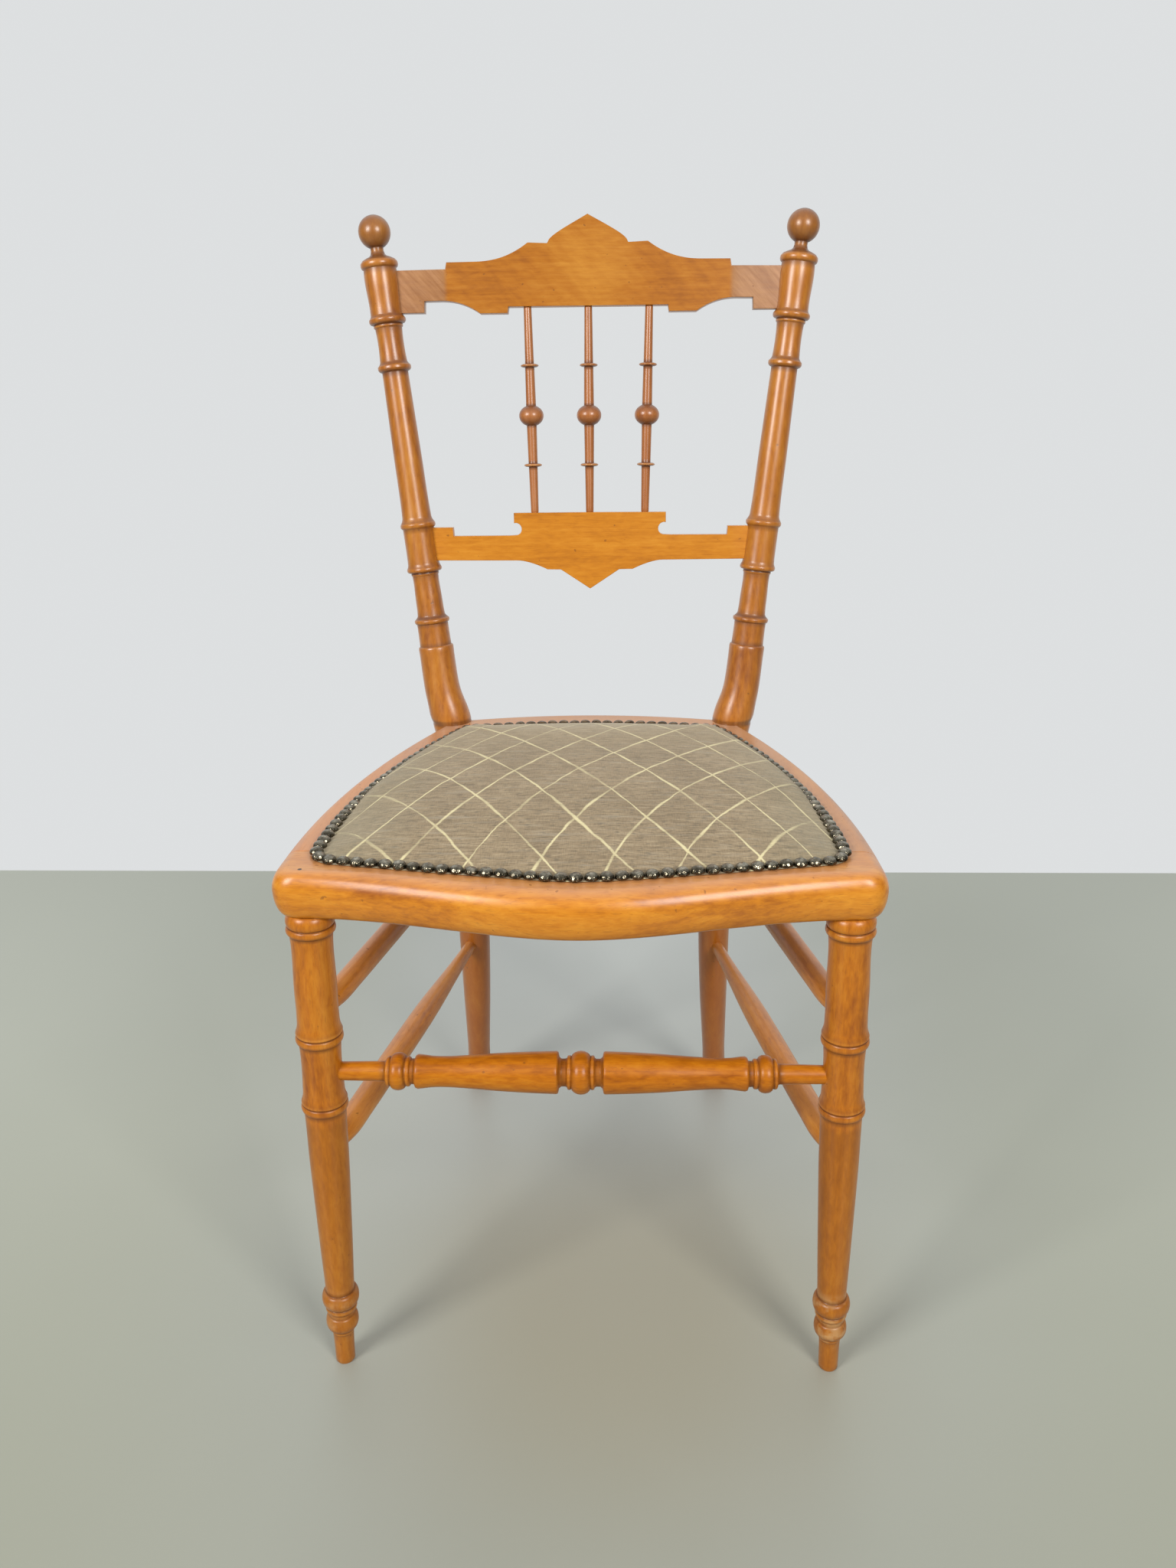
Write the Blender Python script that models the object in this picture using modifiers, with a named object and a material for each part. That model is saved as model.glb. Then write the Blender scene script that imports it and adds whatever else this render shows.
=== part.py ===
"""Turned side chair with a fret-sawn back and a nailed cloth seat.

Metres, +Z up, feet on Z = 0, the sitter faces -Y. Every piece is its own object.
"""

import math

import bmesh
import bpy
from mathutils import Matrix, Vector

MM = 0.001

# ---------------------------------------------------------------- dimensions
CHAIR_Y = 0.00839          # moves the plan so that the chair's box is centred on the origin
GAP = 0.0003               # clearance between pieces that touch

# seat frame
SEAT_TOP = 0.450
SEAT_MID = 0.4335          # height of the widest line of the rounded edge
SEAT_BOTTOM = 0.4145
EDGE_TOP = 0.0135          # how far the rounding runs in on the top face
EDGE_TOP_REAR = 0.0065     # the same at the rear end of the side rails
EDGE_BOTTOM = 0.0075       # and on the underside
SIDE_WIDEST, SIDE_CURVE, SIDE_FROM = 0.2190, 0.684, -0.185     # outer half width
FRONT_APEX, FRONT_BOW, FRONT_REF = -0.2375, 0.0345, 0.2118
CORNER_R = 0.019
FRONT_JOINT = -0.160       # back face of the front rail
SIDE_RAIL_W = 0.062
REAR_JOINT = 0.1500        # rear end of the side rails
BACK_RAIL_IN = 0.118       # front face of the back rail
BACK_RAIL_HALF = 0.1184    # half length between the side rails
BACK_APEX, BACK_BOW = 0.1880, 0.0155

# line of the upholstery nails
NAIL_WIDEST, NAIL_CURVE, NAIL_FROM = 0.1905, 0.79, -0.170
NAIL_APEX, NAIL_SLOPE, NAIL_SOFT = -0.2115, 0.190, 0.029
NAIL_BACK, NAIL_BACK_BOW, NAIL_BACK_REF = 0.146, 0.012, 0.110
NAIL_W, NAIL_H, NAIL_H_BACK = 0.0100, 0.0052, 0.0034
COVER_T = 0.0010
CROWN, CROWN_RISE, CROWN_RISE_BACK = 0.0109, 0.037, 0.0065
INNER_INSET = 0.020        # how far the sacking and the padding stop inside the nails
STRAP_INSET = 0.012        # and the straps, whose ends lie on the rails

# back plane: the posts above the seat lean back and spread
BACK_Z0, BACK_Y0, BACK_LEAN = 0.5214, 0.1680, 0.1031
POST_X0, POST_SPREAD = 0.1499, 0.1093
CREST_T, LOWER_T = 0.011, 0.010
BOARD_INTO_POST = 0.0115
SPINDLE_TOP_X, SPINDLE_BOTTOM_X = 0.0548, 0.0516
SPINDLE_INTO = 0.012

# front leg axis
FRONT_FOOT = (0.2012, -0.1907, 0.0)
FRONT_TOP = (0.1949, -0.1850, 0.3990)

# bent axis of the back post: height, x, y, dx/dz, dy/dz
POST_AXIS = (
    (0.000, 0.1345, 0.2100, -0.050, -0.250),
    (0.206, 0.1254, 0.1615, -0.022, -0.130),
    (0.320, 0.1260, 0.1545, 0.035, -0.010),
    (0.450, 0.1367, 0.1595, 0.260, 0.095),
    (0.485, 0.1457, 0.1635, 0.150, 0.130),
    (0.5214, 0.1499, 0.1680, 0.112, 0.108),
    (0.560, 0.15412, 0.17198, POST_SPREAD, BACK_LEAN),
    (0.920, 0.19347, 0.20910, POST_SPREAD, BACK_LEAN),
)

# stretchers
FRONT_STRETCHER_Z = 0.2795
UPPER_FRONT_Z, UPPER_REAR_Z = 0.3275, 0.3230
LOWER_FRONT_Z, LOWER_REAR_Z = 0.2045, 0.2080
REAR_STRETCHER_Z = 0.2585
STICK_END_D = 12.0                          # mm, at the rear end and of every tenon
LOWER_STICK_D, UPPER_STICK_D, REAR_STICK_D = 21.2, 19.0, 20.0
TENON_DEEP = 0.0135                         # stretcher tenons, past the leg's surface

LEG_TENON_D, LEG_TENON_Z = 20.0, 438.0      # mm
RAIL_TENON_R = 0.006
RAIL_TENON_Z = 0.4320

SIDES_POST, SIDES_LEG, SIDES_STICK, SIDES_SPINDLE = 16, 16, 12, 12
ARC = 3                                     # points on each small curve of a turned profile


# ------------------------------------------------------------------- scene
for old in list(bpy.data.objects):
    bpy.data.objects.remove(old, do_unlink=True)

chair = bpy.data.collections.new("chair")
cutters = bpy.data.collections.new("chair_cutters")
bpy.context.scene.collection.children.link(chair)
bpy.context.scene.collection.children.link(cutters)

root = bpy.data.objects.new("chair_root", None)
root.location = (0.0, CHAIR_Y, 0.0)
chair.objects.link(root)


def material(name, colour, rough, metallic=0.0):
    made = bpy.data.materials.new(name)
    made.use_nodes = True
    shader = made.node_tree.nodes["Principled BSDF"]
    shader.inputs["Base Color"].default_value = (*colour, 1.0)
    shader.inputs["Roughness"].default_value = rough
    shader.inputs["Metallic"].default_value = metallic
    return made


FRUITWOOD = material("fruitwood", (0.48, 0.20, 0.055), 0.32)
CLOTH = material("cover_cloth", (0.30, 0.26, 0.17), 0.9)
JUTE = material("jute", (0.42, 0.32, 0.19), 0.95)
STUFFING = material("stuffing", (0.75, 0.70, 0.58), 0.95)
NAIL_METAL = material("nail_metal", (0.06, 0.06, 0.055), 0.35, 0.9)


def add(name, mesh, mat, matrix=None, cutter=False):
    piece = bpy.data.objects.new(name, mesh)
    (cutters if cutter else chair).objects.link(piece)
    piece.parent = root
    if matrix is not None:
        piece.matrix_local = matrix
    if cutter:
        piece.hide_render = True
        piece.display_type = "WIRE"
    else:
        mesh.materials.append(mat)
    return piece


def boolean(piece, other, operation="DIFFERENCE"):
    mod = piece.modifiers.new(operation.lower() + "_" + other.name, "BOOLEAN")
    mod.operation = operation
    mod.object = other
    mod.solver = "EXACT"
    return mod


# --------------------------------------------------------- turned profiles
def bead(z0, z1, widest, base0, base1):
    """Rounded ring between two heights, from and to the diameters beside it."""
    points = []
    for k in range(ARC + 2):
        a = math.pi * k / (ARC + 1)
        base = base0 + (base1 - base0) * k / (ARC + 1)
        points.append(((z0 + z1) / 2 - (z1 - z0) / 2 * math.cos(a), base + (widest - base) * math.sin(a)))
    return points


def flare(z0, d0, z1, d1):
    """Hollow curve that leaves a sharp ridge at z0 and runs out flat at z1."""
    return [
        (z0 + (z1 - z0) * k / ARC, d1 + (d0 - d1) * (1 - math.sin(math.pi / 2 * k / ARC)))
        for k in range(ARC + 1)
    ]


def ball(z0, z1, widest, neck):
    """Finial ball from its neck to its top."""
    mid, half = (z0 + z1) / 2, (z1 - z0) / 2
    first = math.asin(neck / widest)
    count = 2 * ARC + 2
    points = []
    for k in range(count):
        a = first + (math.pi - first) * k / count
        points.append((mid - half * math.cos(a), widest * math.sin(a)))
    return points


def orb(mid, half, widest, neck):
    """Ball on a stick, from one neck to the other."""
    first = math.asin(neck / widest)
    count = 2 * ARC + 2
    return [
        (mid - half * math.cos(a), widest * math.sin(a))
        for a in (first + (math.pi - 2 * first) * k / count for k in range(count + 1))
    ]


def front_leg_profile():
    return (
        [(0.0, 14.2), (1.2, 15.6), (29.0, 17.0)]
        + bead(30.8, 33.8, 18.9, 17.2, 17.8)
        + bead(34.6, 48.8, 26.4, 18.2, 21.4)
        + [(51.5, 21.3)]
        + bead(53.6, 58.4, 25.6, 21.8, 24.0)
        + bead(59.2, 72.6, 29.9, 24.0, 23.0)
        + [(81.0, 23.4), (106.0, 25.1), (152.0, 27.8), (200.0, 30.4), (243.0, 31.6)]
        + bead(247.4, 253.4, 35.6, 31.9, 33.2)
        + [(253.8, 33.2), (255.2, 35.0), (257.2, 33.5), (260.6, 31.8), (266.5, 31.2), (303.0, 31.2)]
        + bead(306.8, 313.0, 35.8, 31.8, 33.4)
        + [(313.4, 33.4), (314.8, 35.3), (316.9, 33.8), (320.6, 31.9), (326.5, 31.3), (352.0, 31.4), (394.0, 31.2)]
        + bead(397.4, 403.4, 36.2, 31.8, 33.2)
        + [(403.8, 33.2), (404.8, 34.8), (407.0, 35.6), (409.4, 35.3), (411.8, 33.8), (414.1, 31.2)]
        + [(414.2, LEG_TENON_D), (LEG_TENON_Z - 1.0, LEG_TENON_D), (LEG_TENON_Z, LEG_TENON_D - 1.5)]
    )


def post_profile():
    return (
        [(0.0, 20.8), (5.0, 22.4), (60.0, 24.4), (137.0, 28.5), (206.0, 31.2), (300.0, 33.4),
         (345.0, 34.2), (390.0, 34.8), (420.0, 35.6), (436.0, 38.0), (447.5, 38.4), (449.6, 37.4), (450.6, 37.4),
         (451.8, 38.0), (454.2, 38.4), (458.5, 38.0), (464.0, 36.8), (472.0, 35.0), (486.0, 33.8), (501.0, 33.4), (518.0, 33.4), (521.2, 33.6), (523.2, 32.8), (523.8, 30.2), (541.0, 29.7), (545.2, 29.8),
         (545.7, 32.2), (547.2, 33.5)]
        + flare(548.8, 33.4, 553.6, 26.2)
        + [(570.0, 25.2), (589.2, 24.6)]
        + bead(590.6, 593.2, 26.2, 24.8, 25.8)
        + [(593.9, 31.0), (595.2, 33.0)]
        + flare(596.9, 33.0, 602.0, 29.7)
        + [(633.8, 29.2), (634.6, 31.6), (636.0, 33.0)]
        + flare(637.9, 33.0, 644.6, 27.4)
        + [(700.0, 25.8), (773.2, 23.7), (774.4, 28.4), (776.0, 30.3)]
        + flare(778.2, 30.3, 782.8, 24.6)
        + [(809.8, 24.3)]
        + bead(811.0, 813.8, 26.6, 24.5, 25.6)
        + [(814.8, 31.4), (816.4, 33.2)]
        + flare(818.4, 33.2, 822.4, 28.8)
        + [(859.8, 29.4), (860.6, 29.2), (861.4, 32.2), (863.2, 33.6), (865.6, 33.2), (867.8, 29.4),
           (869.6, 22.4), (870.8, 16.4), (872.4, 13.0), (875.4, 11.5)]
        + ball(876.8, 905.2, 28.6, 11.6)
    )


def spindle_profile(length):
    """Along the spindle from its lower end to its upper end, in mm."""
    low, high = SPINDLE_INTO / MM, length - SPINDLE_INTO / MM
    mid = length / 2 - 1.3
    under, over = mid - 46.0, mid + 41.6          # the two rings
    out = [(0.0, 5.9), (0.8, 6.5), (low + 0.1, 6.5), (low + 0.5, 7.2)]
    out += [(under - 1.9, 8.2)] + bead(under - 1.5, under + 1.5, 16.6, 8.6, 8.8)
    out += [(under + 1.9, 8.5)] + orb(mid - 2.1, 9.4, 22.6, 9.2)
    out += [(over - 1.9, 8.5)]
    out += bead(over - 1.5, over + 1.5, 16.4, 8.8, 8.6) + [(over + 1.9, 8.1), (high - 0.5, 7.1)]
    out += [(high - 0.1, 6.5), (length - 0.8, 6.5), (length, 5.9)]
    return out


def half_front_stretcher():
    """Half of the front stretcher, from the middle outwards, in mm."""
    return (
        [(0.0, 32.4), (2.6, 31.8), (5.0, 29.6), (6.6, 26.6)]
        + bead(7.2, 10.4, 25.6, 24.4, 22.0)
        + [(11.6, 20.6), (14.8, 20.6), (16.4, 23.4), (17.2, 30.6), (18.4, 31.8), (24.0, 31.5),
           (60.0, 28.4), (86.0, 24.6), (104.0, 22.9), (113.0, 23.4), (120.0, 25.2), (123.2, 25.9),
           (125.0, 24.6), (126.0, 19.4), (128.6, 19.0)]
        + bead(129.2, 132.8, 22.6, 19.6, 22.0)
        + bead(133.2, 143.6, 28.2, 22.6, 22.6)
        + bead(144.0, 147.6, 22.6, 22.0, 17.0)
        + [(149.0, 15.2), (166.0, 14.6)]
    )


def side_stick_profile(length, widest, into):
    """Side stretcher, in mm: full near the front leg and thinned towards the post."""
    end = STICK_END_D
    out = [(0.0, end - 1.0), (0.8, end), (into, end)]
    shape = ((0.0, 0.30), (0.05, 0.84), (0.14, 0.97), (0.30, 1.0), (0.48, 1.0), (0.60, 0.93), (0.70, 0.70), (0.80, 0.38), (0.90, 0.12))
    out += [(into + 1.0 + (length - 2 * into - 1.0) * t, end + (widest - end) * share) for t, share in shape]
    return out + [(length - into, end), (length - 0.8, end), (length, end - 1.0)]


def rear_stick_profile(length, widest, into):
    """Rear stretcher, in mm: swelled in the middle."""
    end = STICK_END_D
    out = [(0.0, end - 1.0), (0.8, end), (into, end)]
    for k in range(1, 8):
        out.append((into + (length - 2 * into) * k / 8, end + (widest - end) * math.sin(math.pi * k / 8) ** 0.85))
    return out + [(length - into, end), (length - 0.8, end), (length, end - 1.0)]


def turned_object(name, profile, sides, mat, matrix=None, cutter=False):
    """A profile of heights and diameters in mm, turned about local Z with a Screw modifier."""
    mesh = bpy.data.meshes.new(name)
    line = [(0.0, profile[0][0])] + [(d / 2, z) for z, d in profile] + [(0.0, profile[-1][0])]
    points = [(r * MM, 0.0, z * MM) for r, z in reversed(line)]
    mesh.from_pydata(points, [(k, k + 1) for k in range(len(points) - 1)], [])
    piece = add(name, mesh, mat, matrix, cutter)
    mod = piece.modifiers.new("turn", "SCREW")
    mod.axis = "Z"
    mod.angle = math.tau
    mod.steps = sides
    mod.render_steps = sides
    mod.use_merge_vertices = True
    mod.merge_threshold = 0.00001
    mod.use_smooth_shade = True
    return piece


def turned_along(name, profile, sides, axis, mat, cutter=False):
    """A turned piece whose axis is bent: each height of the turning goes to the axis point at that height."""
    straight = turned_object(name + "_straight", profile, sides, mat)
    straight.parent = None
    graph = bpy.context.evaluated_depsgraph_get()
    mesh = bpy.data.meshes.new_from_object(straight.evaluated_get(graph))
    bpy.data.objects.remove(straight, do_unlink=True)
    mesh.name = name
    mesh.materials.clear()
    lowest = min(v.co.z for v in mesh.vertices)
    for v in mesh.vertices:
        centre, along = axis(v.co.z)
        side = Vector((1.0, 0.0, 0.0))
        side = (side - along * side.dot(along)).normalized()
        other = along.cross(side)
        point = centre + side * v.co.x + other * v.co.y
        if lowest == 0.0 and v.co.z < 1e-6:
            point -= along * (point.z / along.z)     # the foot is cut flat for the floor
        v.co = point
    return add(name, mesh, mat, None, cutter)


def post_axis(side):
    def at(z):
        for (z0, x0, y0, sx0, sy0), (z1, x1, y1, sx1, sy1) in zip(POST_AXIS, POST_AXIS[1:]):
            if z <= z1 or z1 == POST_AXIS[-1][0]:
                break
        h = z1 - z0
        t = (z - z0) / h
        a, b, c, d = 2 * t**3 - 3 * t**2 + 1, t**3 - 2 * t**2 + t, 3 * t**2 - 2 * t**3, t**3 - t**2
        da, db, dc, dd = (6 * t**2 - 6 * t) / h, (3 * t**2 - 4 * t + 1) / h, (6 * t - 6 * t**2) / h, (3 * t**2 - 2 * t) / h
        x = a * x0 + b * h * sx0 + c * x1 + d * h * sx1
        y = a * y0 + b * h * sy0 + c * y1 + d * h * sy1
        sx = da * x0 + db * h * sx0 + dc * x1 + dd * h * sx1
        sy = da * y0 + db * h * sy0 + dc * y1 + dd * h * sy1
        level = 1.0 - math.exp(-(((z - SEAT_TOP) / 0.012) ** 2))     # the heel lies level on the seat
        return Vector((side * x, y, z)), Vector((side * sx * level, sy * level, 1.0)).normalized()

    return at


def leg_axis(side):
    foot, top = Vector(FRONT_FOOT), Vector(FRONT_TOP)
    foot.x, top.x = side * foot.x, side * top.x
    slope = (top - foot) / (top.z - foot.z)

    def at(z):
        return foot + slope * z, slope.normalized()

    return at


def aim(start, end):
    """Matrix that puts local Z along the line from start to end, with the origin at start."""
    start, end = Vector(start), Vector(end)
    return Matrix.Translation(start) @ (end - start).to_track_quat("Z", "Y").to_matrix().to_4x4()


def rod(name, start, end, radius, sides=12, cutter=True, mat=None):
    start, end = Vector(start), Vector(end)
    mesh = bpy.data.meshes.new(name)
    bm = bmesh.new()
    bmesh.ops.create_cone(bm, cap_ends=True, segments=sides, radius1=radius, radius2=radius, depth=(end - start).length)
    bmesh.ops.translate(bm, verts=bm.verts, vec=(0, 0, (end - start).length / 2))
    bm.to_mesh(mesh)
    bm.free()
    return add(name, mesh, mat, aim(start, end), cutter)


def block(name, low, high, matrix=None, cutter=True, mat=None):
    low, high = Vector(low), Vector(high)
    mesh = bpy.data.meshes.new(name)
    bm = bmesh.new()
    bmesh.ops.create_cube(bm, size=1.0)
    bmesh.ops.scale(bm, verts=bm.verts, vec=high - low)
    bmesh.ops.translate(bm, verts=bm.verts, vec=(low + high) / 2)
    bm.to_mesh(mesh)
    bm.free()
    return add(name, mesh, mat, matrix, cutter)


# -------------------------------------------------------------- seat plan
def side_x(y):
    return SIDE_WIDEST - SIDE_CURVE * max(0.0, y - SIDE_FROM) ** 2


def front_y(x):
    """The bow of the front rail: round at its middle, straighter further out, and eased towards the corners."""
    t = min(1.0, abs(x) / FRONT_REF)
    return FRONT_APEX + FRONT_BOW * (1.0 - (1.0 - 2.285 * t * t / (t + 1.285)) ** 2)


def back_y(x):
    return BACK_APEX - BACK_BOW * (x / 0.118) ** 2


def round_corner(first, second, third, steps):
    """Points of a quadratic corner between two edges."""
    return [
        first * (1 - t) ** 2 + second * (2 * t * (1 - t)) + third * t**2
        for t in (k / steps for k in range(1, steps))
    ]


def front_outline():
    """Outer edge of the front rail, from its left joint round the bow to its right joint."""
    half = [Vector((x, front_y(x))) for x in (0.0, 0.012, 0.026, 0.044, 0.066, 0.092, 0.120, 0.150, SIDE_WIDEST - CORNER_R)]
    corner = Vector((SIDE_WIDEST, front_y(SIDE_WIDEST)))
    below = Vector((side_x(corner.y + CORNER_R), corner.y + CORNER_R))
    half += round_corner(half[-1], corner, below, 5) + [below, Vector((side_x(FRONT_JOINT), FRONT_JOINT))]
    return [Vector((-p.x, p.y)) for p in reversed(half[1:])] + half


def edge_section(outer, inner, rounding=EDGE_TOP):
    """Section of a seat rail, from its rounded outer edge to its inner face."""
    inward = (inner - outer).normalized()
    places = [(rounding, SEAT_TOP)]
    for a in (0.30, 0.62, 1.0):
        places.append((rounding * (1 - math.sin(a * math.pi / 2)), SEAT_MID + (SEAT_TOP - SEAT_MID) * math.cos(a * math.pi / 2)))
    for a in (0.45, 0.75, 1.0):
        places.append((EDGE_BOTTOM * (1 - math.cos(a * math.pi / 2)), SEAT_MID - (SEAT_MID - SEAT_BOTTOM) * math.sin(a * math.pi / 2)))
    section = [Vector((*(outer + inward * inset), z)) for inset, z in places]
    return section + [Vector((inner.x, inner.y, SEAT_BOTTOM)), Vector((inner.x, inner.y, SEAT_TOP))]


def loft(name, sections, mat, cutter=False, closed=False):
    """Skin over unlike sections."""
    bm = bmesh.new()
    rows = [[bm.verts.new(p) for p in section] for section in sections]
    pairs = list(zip(rows, rows[1:])) + ([(rows[-1], rows[0])] if closed else [])
    for a, b in pairs:
        for k in range(len(a)):
            j = (k + 1) % len(a)
            bm.faces.new((a[k], a[j], b[j], b[k]))
    if not closed:
        bm.faces.new(rows[0])
        bm.faces.new(list(reversed(rows[-1])))
    bmesh.ops.recalc_face_normals(bm, faces=bm.faces)
    mesh = bpy.data.meshes.new(name)
    bm.to_mesh(mesh)
    bm.free()
    return add(name, mesh, mat, None, cutter)


# ---------------------------------------------------------- legs and posts
LEFT, RIGHT = -1, 1
NAMES = {LEFT: "left", RIGHT: "right"}
legs, posts, post_room = {}, {}, {}
for side in (LEFT, RIGHT):
    legs[side] = turned_along("front_leg_" + NAMES[side], front_leg_profile(), SIDES_LEG, leg_axis(side), FRUITWOOD)
    posts[side] = turned_along("back_post_" + NAMES[side], post_profile(), SIDES_POST, post_axis(side), FRUITWOOD)
    room = [(z, d + 2 * GAP / MM + 0.2) for z, d in post_profile() if 340 < z < 500]
    post_room[side] = turned_along("room_for_post_" + NAMES[side], room, SIDES_POST, post_axis(side), FRUITWOOD, cutter=True)

# --------------------------------------------------------------- seat frame
outline = front_outline()
inner_half = side_x(FRONT_JOINT) - SIDE_RAIL_W
sections = []
for k, point in enumerate(outline):
    t = k / (len(outline) - 1)
    spread = min(1.0, max(-1.0, point.x / (SIDE_WIDEST - CORNER_R) if abs(point.x) < SIDE_WIDEST - CORNER_R else math.copysign(1.0, point.x)))
    sections.append(edge_section(point, Vector((inner_half * spread * 0.999 if abs(spread) < 1 else inner_half * spread, FRONT_JOINT))))
front_rail = loft("seat_front_rail", sections, FRUITWOOD)

side_rails = {}
for side in (LEFT, RIGHT):
    sections = []
    count = 9
    for k in range(count + 1):
        y = FRONT_JOINT + GAP + (REAR_JOINT - FRONT_JOINT - GAP) * k / count
        outer = Vector((side * side_x(y), y))
        rounding = EDGE_TOP + (EDGE_TOP_REAR - EDGE_TOP) * k / count
        sections.append(edge_section(outer, Vector((side * (side_x(y) - SIDE_RAIL_W), y)), rounding))
    side_rails[side] = loft("seat_" + NAMES[side] + "_rail", sections, FRUITWOOD)

sections = []
for k in range(13):
    x = -0.127 + 0.254 * k / 12
    sections.append(edge_section(Vector((x, back_y(x))), Vector((x, BACK_RAIL_IN))))
back_rail = loft("seat_back_rail", sections, FRUITWOOD)

for side in (LEFT, RIGHT):
    name = NAMES[side]
    ends = sorted((side * (BACK_RAIL_HALF - GAP / 2), side * 0.200))
    stop = block("side_rail_room_" + name, (ends[0], 0.05, 0.40), (ends[1], REAR_JOINT + GAP, 0.47))
    boolean(back_rail, stop)
    ends = sorted((side * 0.050, side * (BACK_RAIL_HALF + GAP / 2)))
    notch = block("back_rail_room_" + name, (ends[0], BACK_RAIL_IN - GAP, 0.40), (ends[1], 0.20, 0.47))
    boolean(side_rails[side], notch)
    boolean(back_rail, post_room[side])
    boolean(side_rails[side], post_room[side])

    # tenons of the rails in the post
    tenon_front = (Vector((side * 0.1380, 0.1300, RAIL_TENON_Z)), Vector((side * 0.1350, 0.1515, RAIL_TENON_Z)))
    tenon_inner = (Vector((side * 0.1080, 0.1600, RAIL_TENON_Z)), Vector((side * 0.1300, 0.1610, RAIL_TENON_Z)))
    for rail, (start, end), what in ((side_rails[side], tenon_front, "side"), (back_rail, tenon_inner, "back")):
        boolean(rail, rod(what + "_rail_tenon_" + name, start, end, RAIL_TENON_R), "UNION")
        past = (end - start).normalized() * 0.0006
        boolean(posts[side], rod(what + "_rail_mortise_" + name, start, end + past, RAIL_TENON_R + 0.0004))

    # tenon of the side rail in the front rail
    start, end = Vector((side * 0.1750, -0.1450, RAIL_TENON_Z)), Vector((side * 0.1750, -0.1740, RAIL_TENON_Z))
    boolean(side_rails[side], rod("front_joint_tenon_" + name, start, end, RAIL_TENON_R), "UNION")
    boolean(front_rail, rod("front_joint_mortise_" + name, start, end + Vector((0, -0.0006, 0)), RAIL_TENON_R + 0.0004))

    # socket of the front leg's tenon
    low, along = leg_axis(side)(0.40)
    high, along = leg_axis(side)(LEG_TENON_Z * MM + 0.0006)
    boolean(front_rail, rod("leg_socket_" + name, low, high, LEG_TENON_D / 2 * MM + 0.0005, 16))

# -------------------------------------------------------------- stretchers
def stretcher(name, body, start_piece, start, start_r, end_piece, end, end_r):
    """Stick between two leg axes: it stops TENON_DEEP inside each leg's surface, in a bored socket."""
    start, end = Vector(start), Vector(end)
    along = (end - start).normalized()
    first = start + along * (start_r - TENON_DEEP)
    last = end - along * (end_r - TENON_DEEP)
    profile, radius = body((last - first).length / MM)
    stick = turned_object(name, profile, SIDES_STICK if name != "front_stretcher" else SIDES_LEG, FRUITWOOD, aim(first, last))
    reach = TENON_DEEP + 0.030
    boolean(start_piece, rod("socket_a_" + name, first - along * 0.0006, first + along * reach, radius + 0.0004))
    boolean(end_piece, rod("socket_b_" + name, last - along * reach, last + along * 0.0006, radius + 0.0004))
    return stick


def upper_stick(length):
    return side_stick_profile(length, UPPER_STICK_D, TENON_DEEP / MM + 1.5), STICK_END_D / 2 * MM


def lower_stick(length):
    return side_stick_profile(length, LOWER_STICK_D, TENON_DEEP / MM + 1.5), STICK_END_D / 2 * MM


def rear_stick(length):
    return rear_stick_profile(length, REAR_STICK_D, TENON_DEEP / MM + 2.0), STICK_END_D / 2 * MM


def front_stick(length):
    half = half_front_stretcher()
    mid = length / 2
    ends = [(0.0, 13.0), (0.8, 14.2), (TENON_DEEP / MM + 3.0, 14.2)]
    left = [(mid - z, d) for z, d in reversed(half[1:])]
    right = [(mid + z, d) for z, d in half]
    return ends + left + right + [(length - z, d) for z, d in reversed(ends)], 14.2 / 2 * MM


for side in (LEFT, RIGHT):
    name = NAMES[side]
    for level, body, front_z, rear_z in (
        ("upper", upper_stick, UPPER_FRONT_Z, UPPER_REAR_Z), ("lower", lower_stick, LOWER_FRONT_Z, LOWER_REAR_Z),
    ):
        stretcher(
            name + "_" + level + "_stretcher", body,
            legs[side], leg_axis(side)(front_z)[0], 0.0153,
            posts[side], post_axis(side)(rear_z)[0], 0.0158,
        )
stretcher(
    "front_stretcher", front_stick,
    legs[LEFT], leg_axis(LEFT)(FRONT_STRETCHER_Z)[0], 0.0155,
    legs[RIGHT], leg_axis(RIGHT)(FRONT_STRETCHER_Z)[0], 0.0155,
)
stretcher(
    "rear_stretcher", rear_stick,
    posts[LEFT], post_axis(LEFT)(REAR_STRETCHER_Z)[0], 0.0161,
    posts[RIGHT], post_axis(RIGHT)(REAR_STRETCHER_Z)[0], 0.0161,
)


# --------------------------------------------------------------- back boards
LEAN = math.atan(BACK_LEAN)
LEAN_STRETCH = math.sqrt(1 + BACK_LEAN**2)


def back_point(x, z, out=0.0):
    """Point of the back plane at a height, or that far in front of it."""
    return Vector((x, BACK_Y0 + BACK_LEAN * (z - BACK_Z0) - out * math.cos(LEAN), z + out * math.sin(LEAN)))


def back_matrix(z):
    """Local X across, local Y up the back, local Z towards the sitter."""
    return Matrix.Translation(back_point(0, z)) @ Matrix.Rotation(math.pi / 2 - LEAN, 4, "X")


def post_x(z):
    return POST_X0 + POST_SPREAD * (z - BACK_Z0)


def sweep(x0, z0, x1, z1, power, count=5):
    """Sawn curve from one corner to the next: flat at the first, steep at the second."""
    return [(x0 + (x1 - x0) * k / count, z0 + (z1 - z0) * (k / count) ** power) for k in range(count + 1)]


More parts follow.
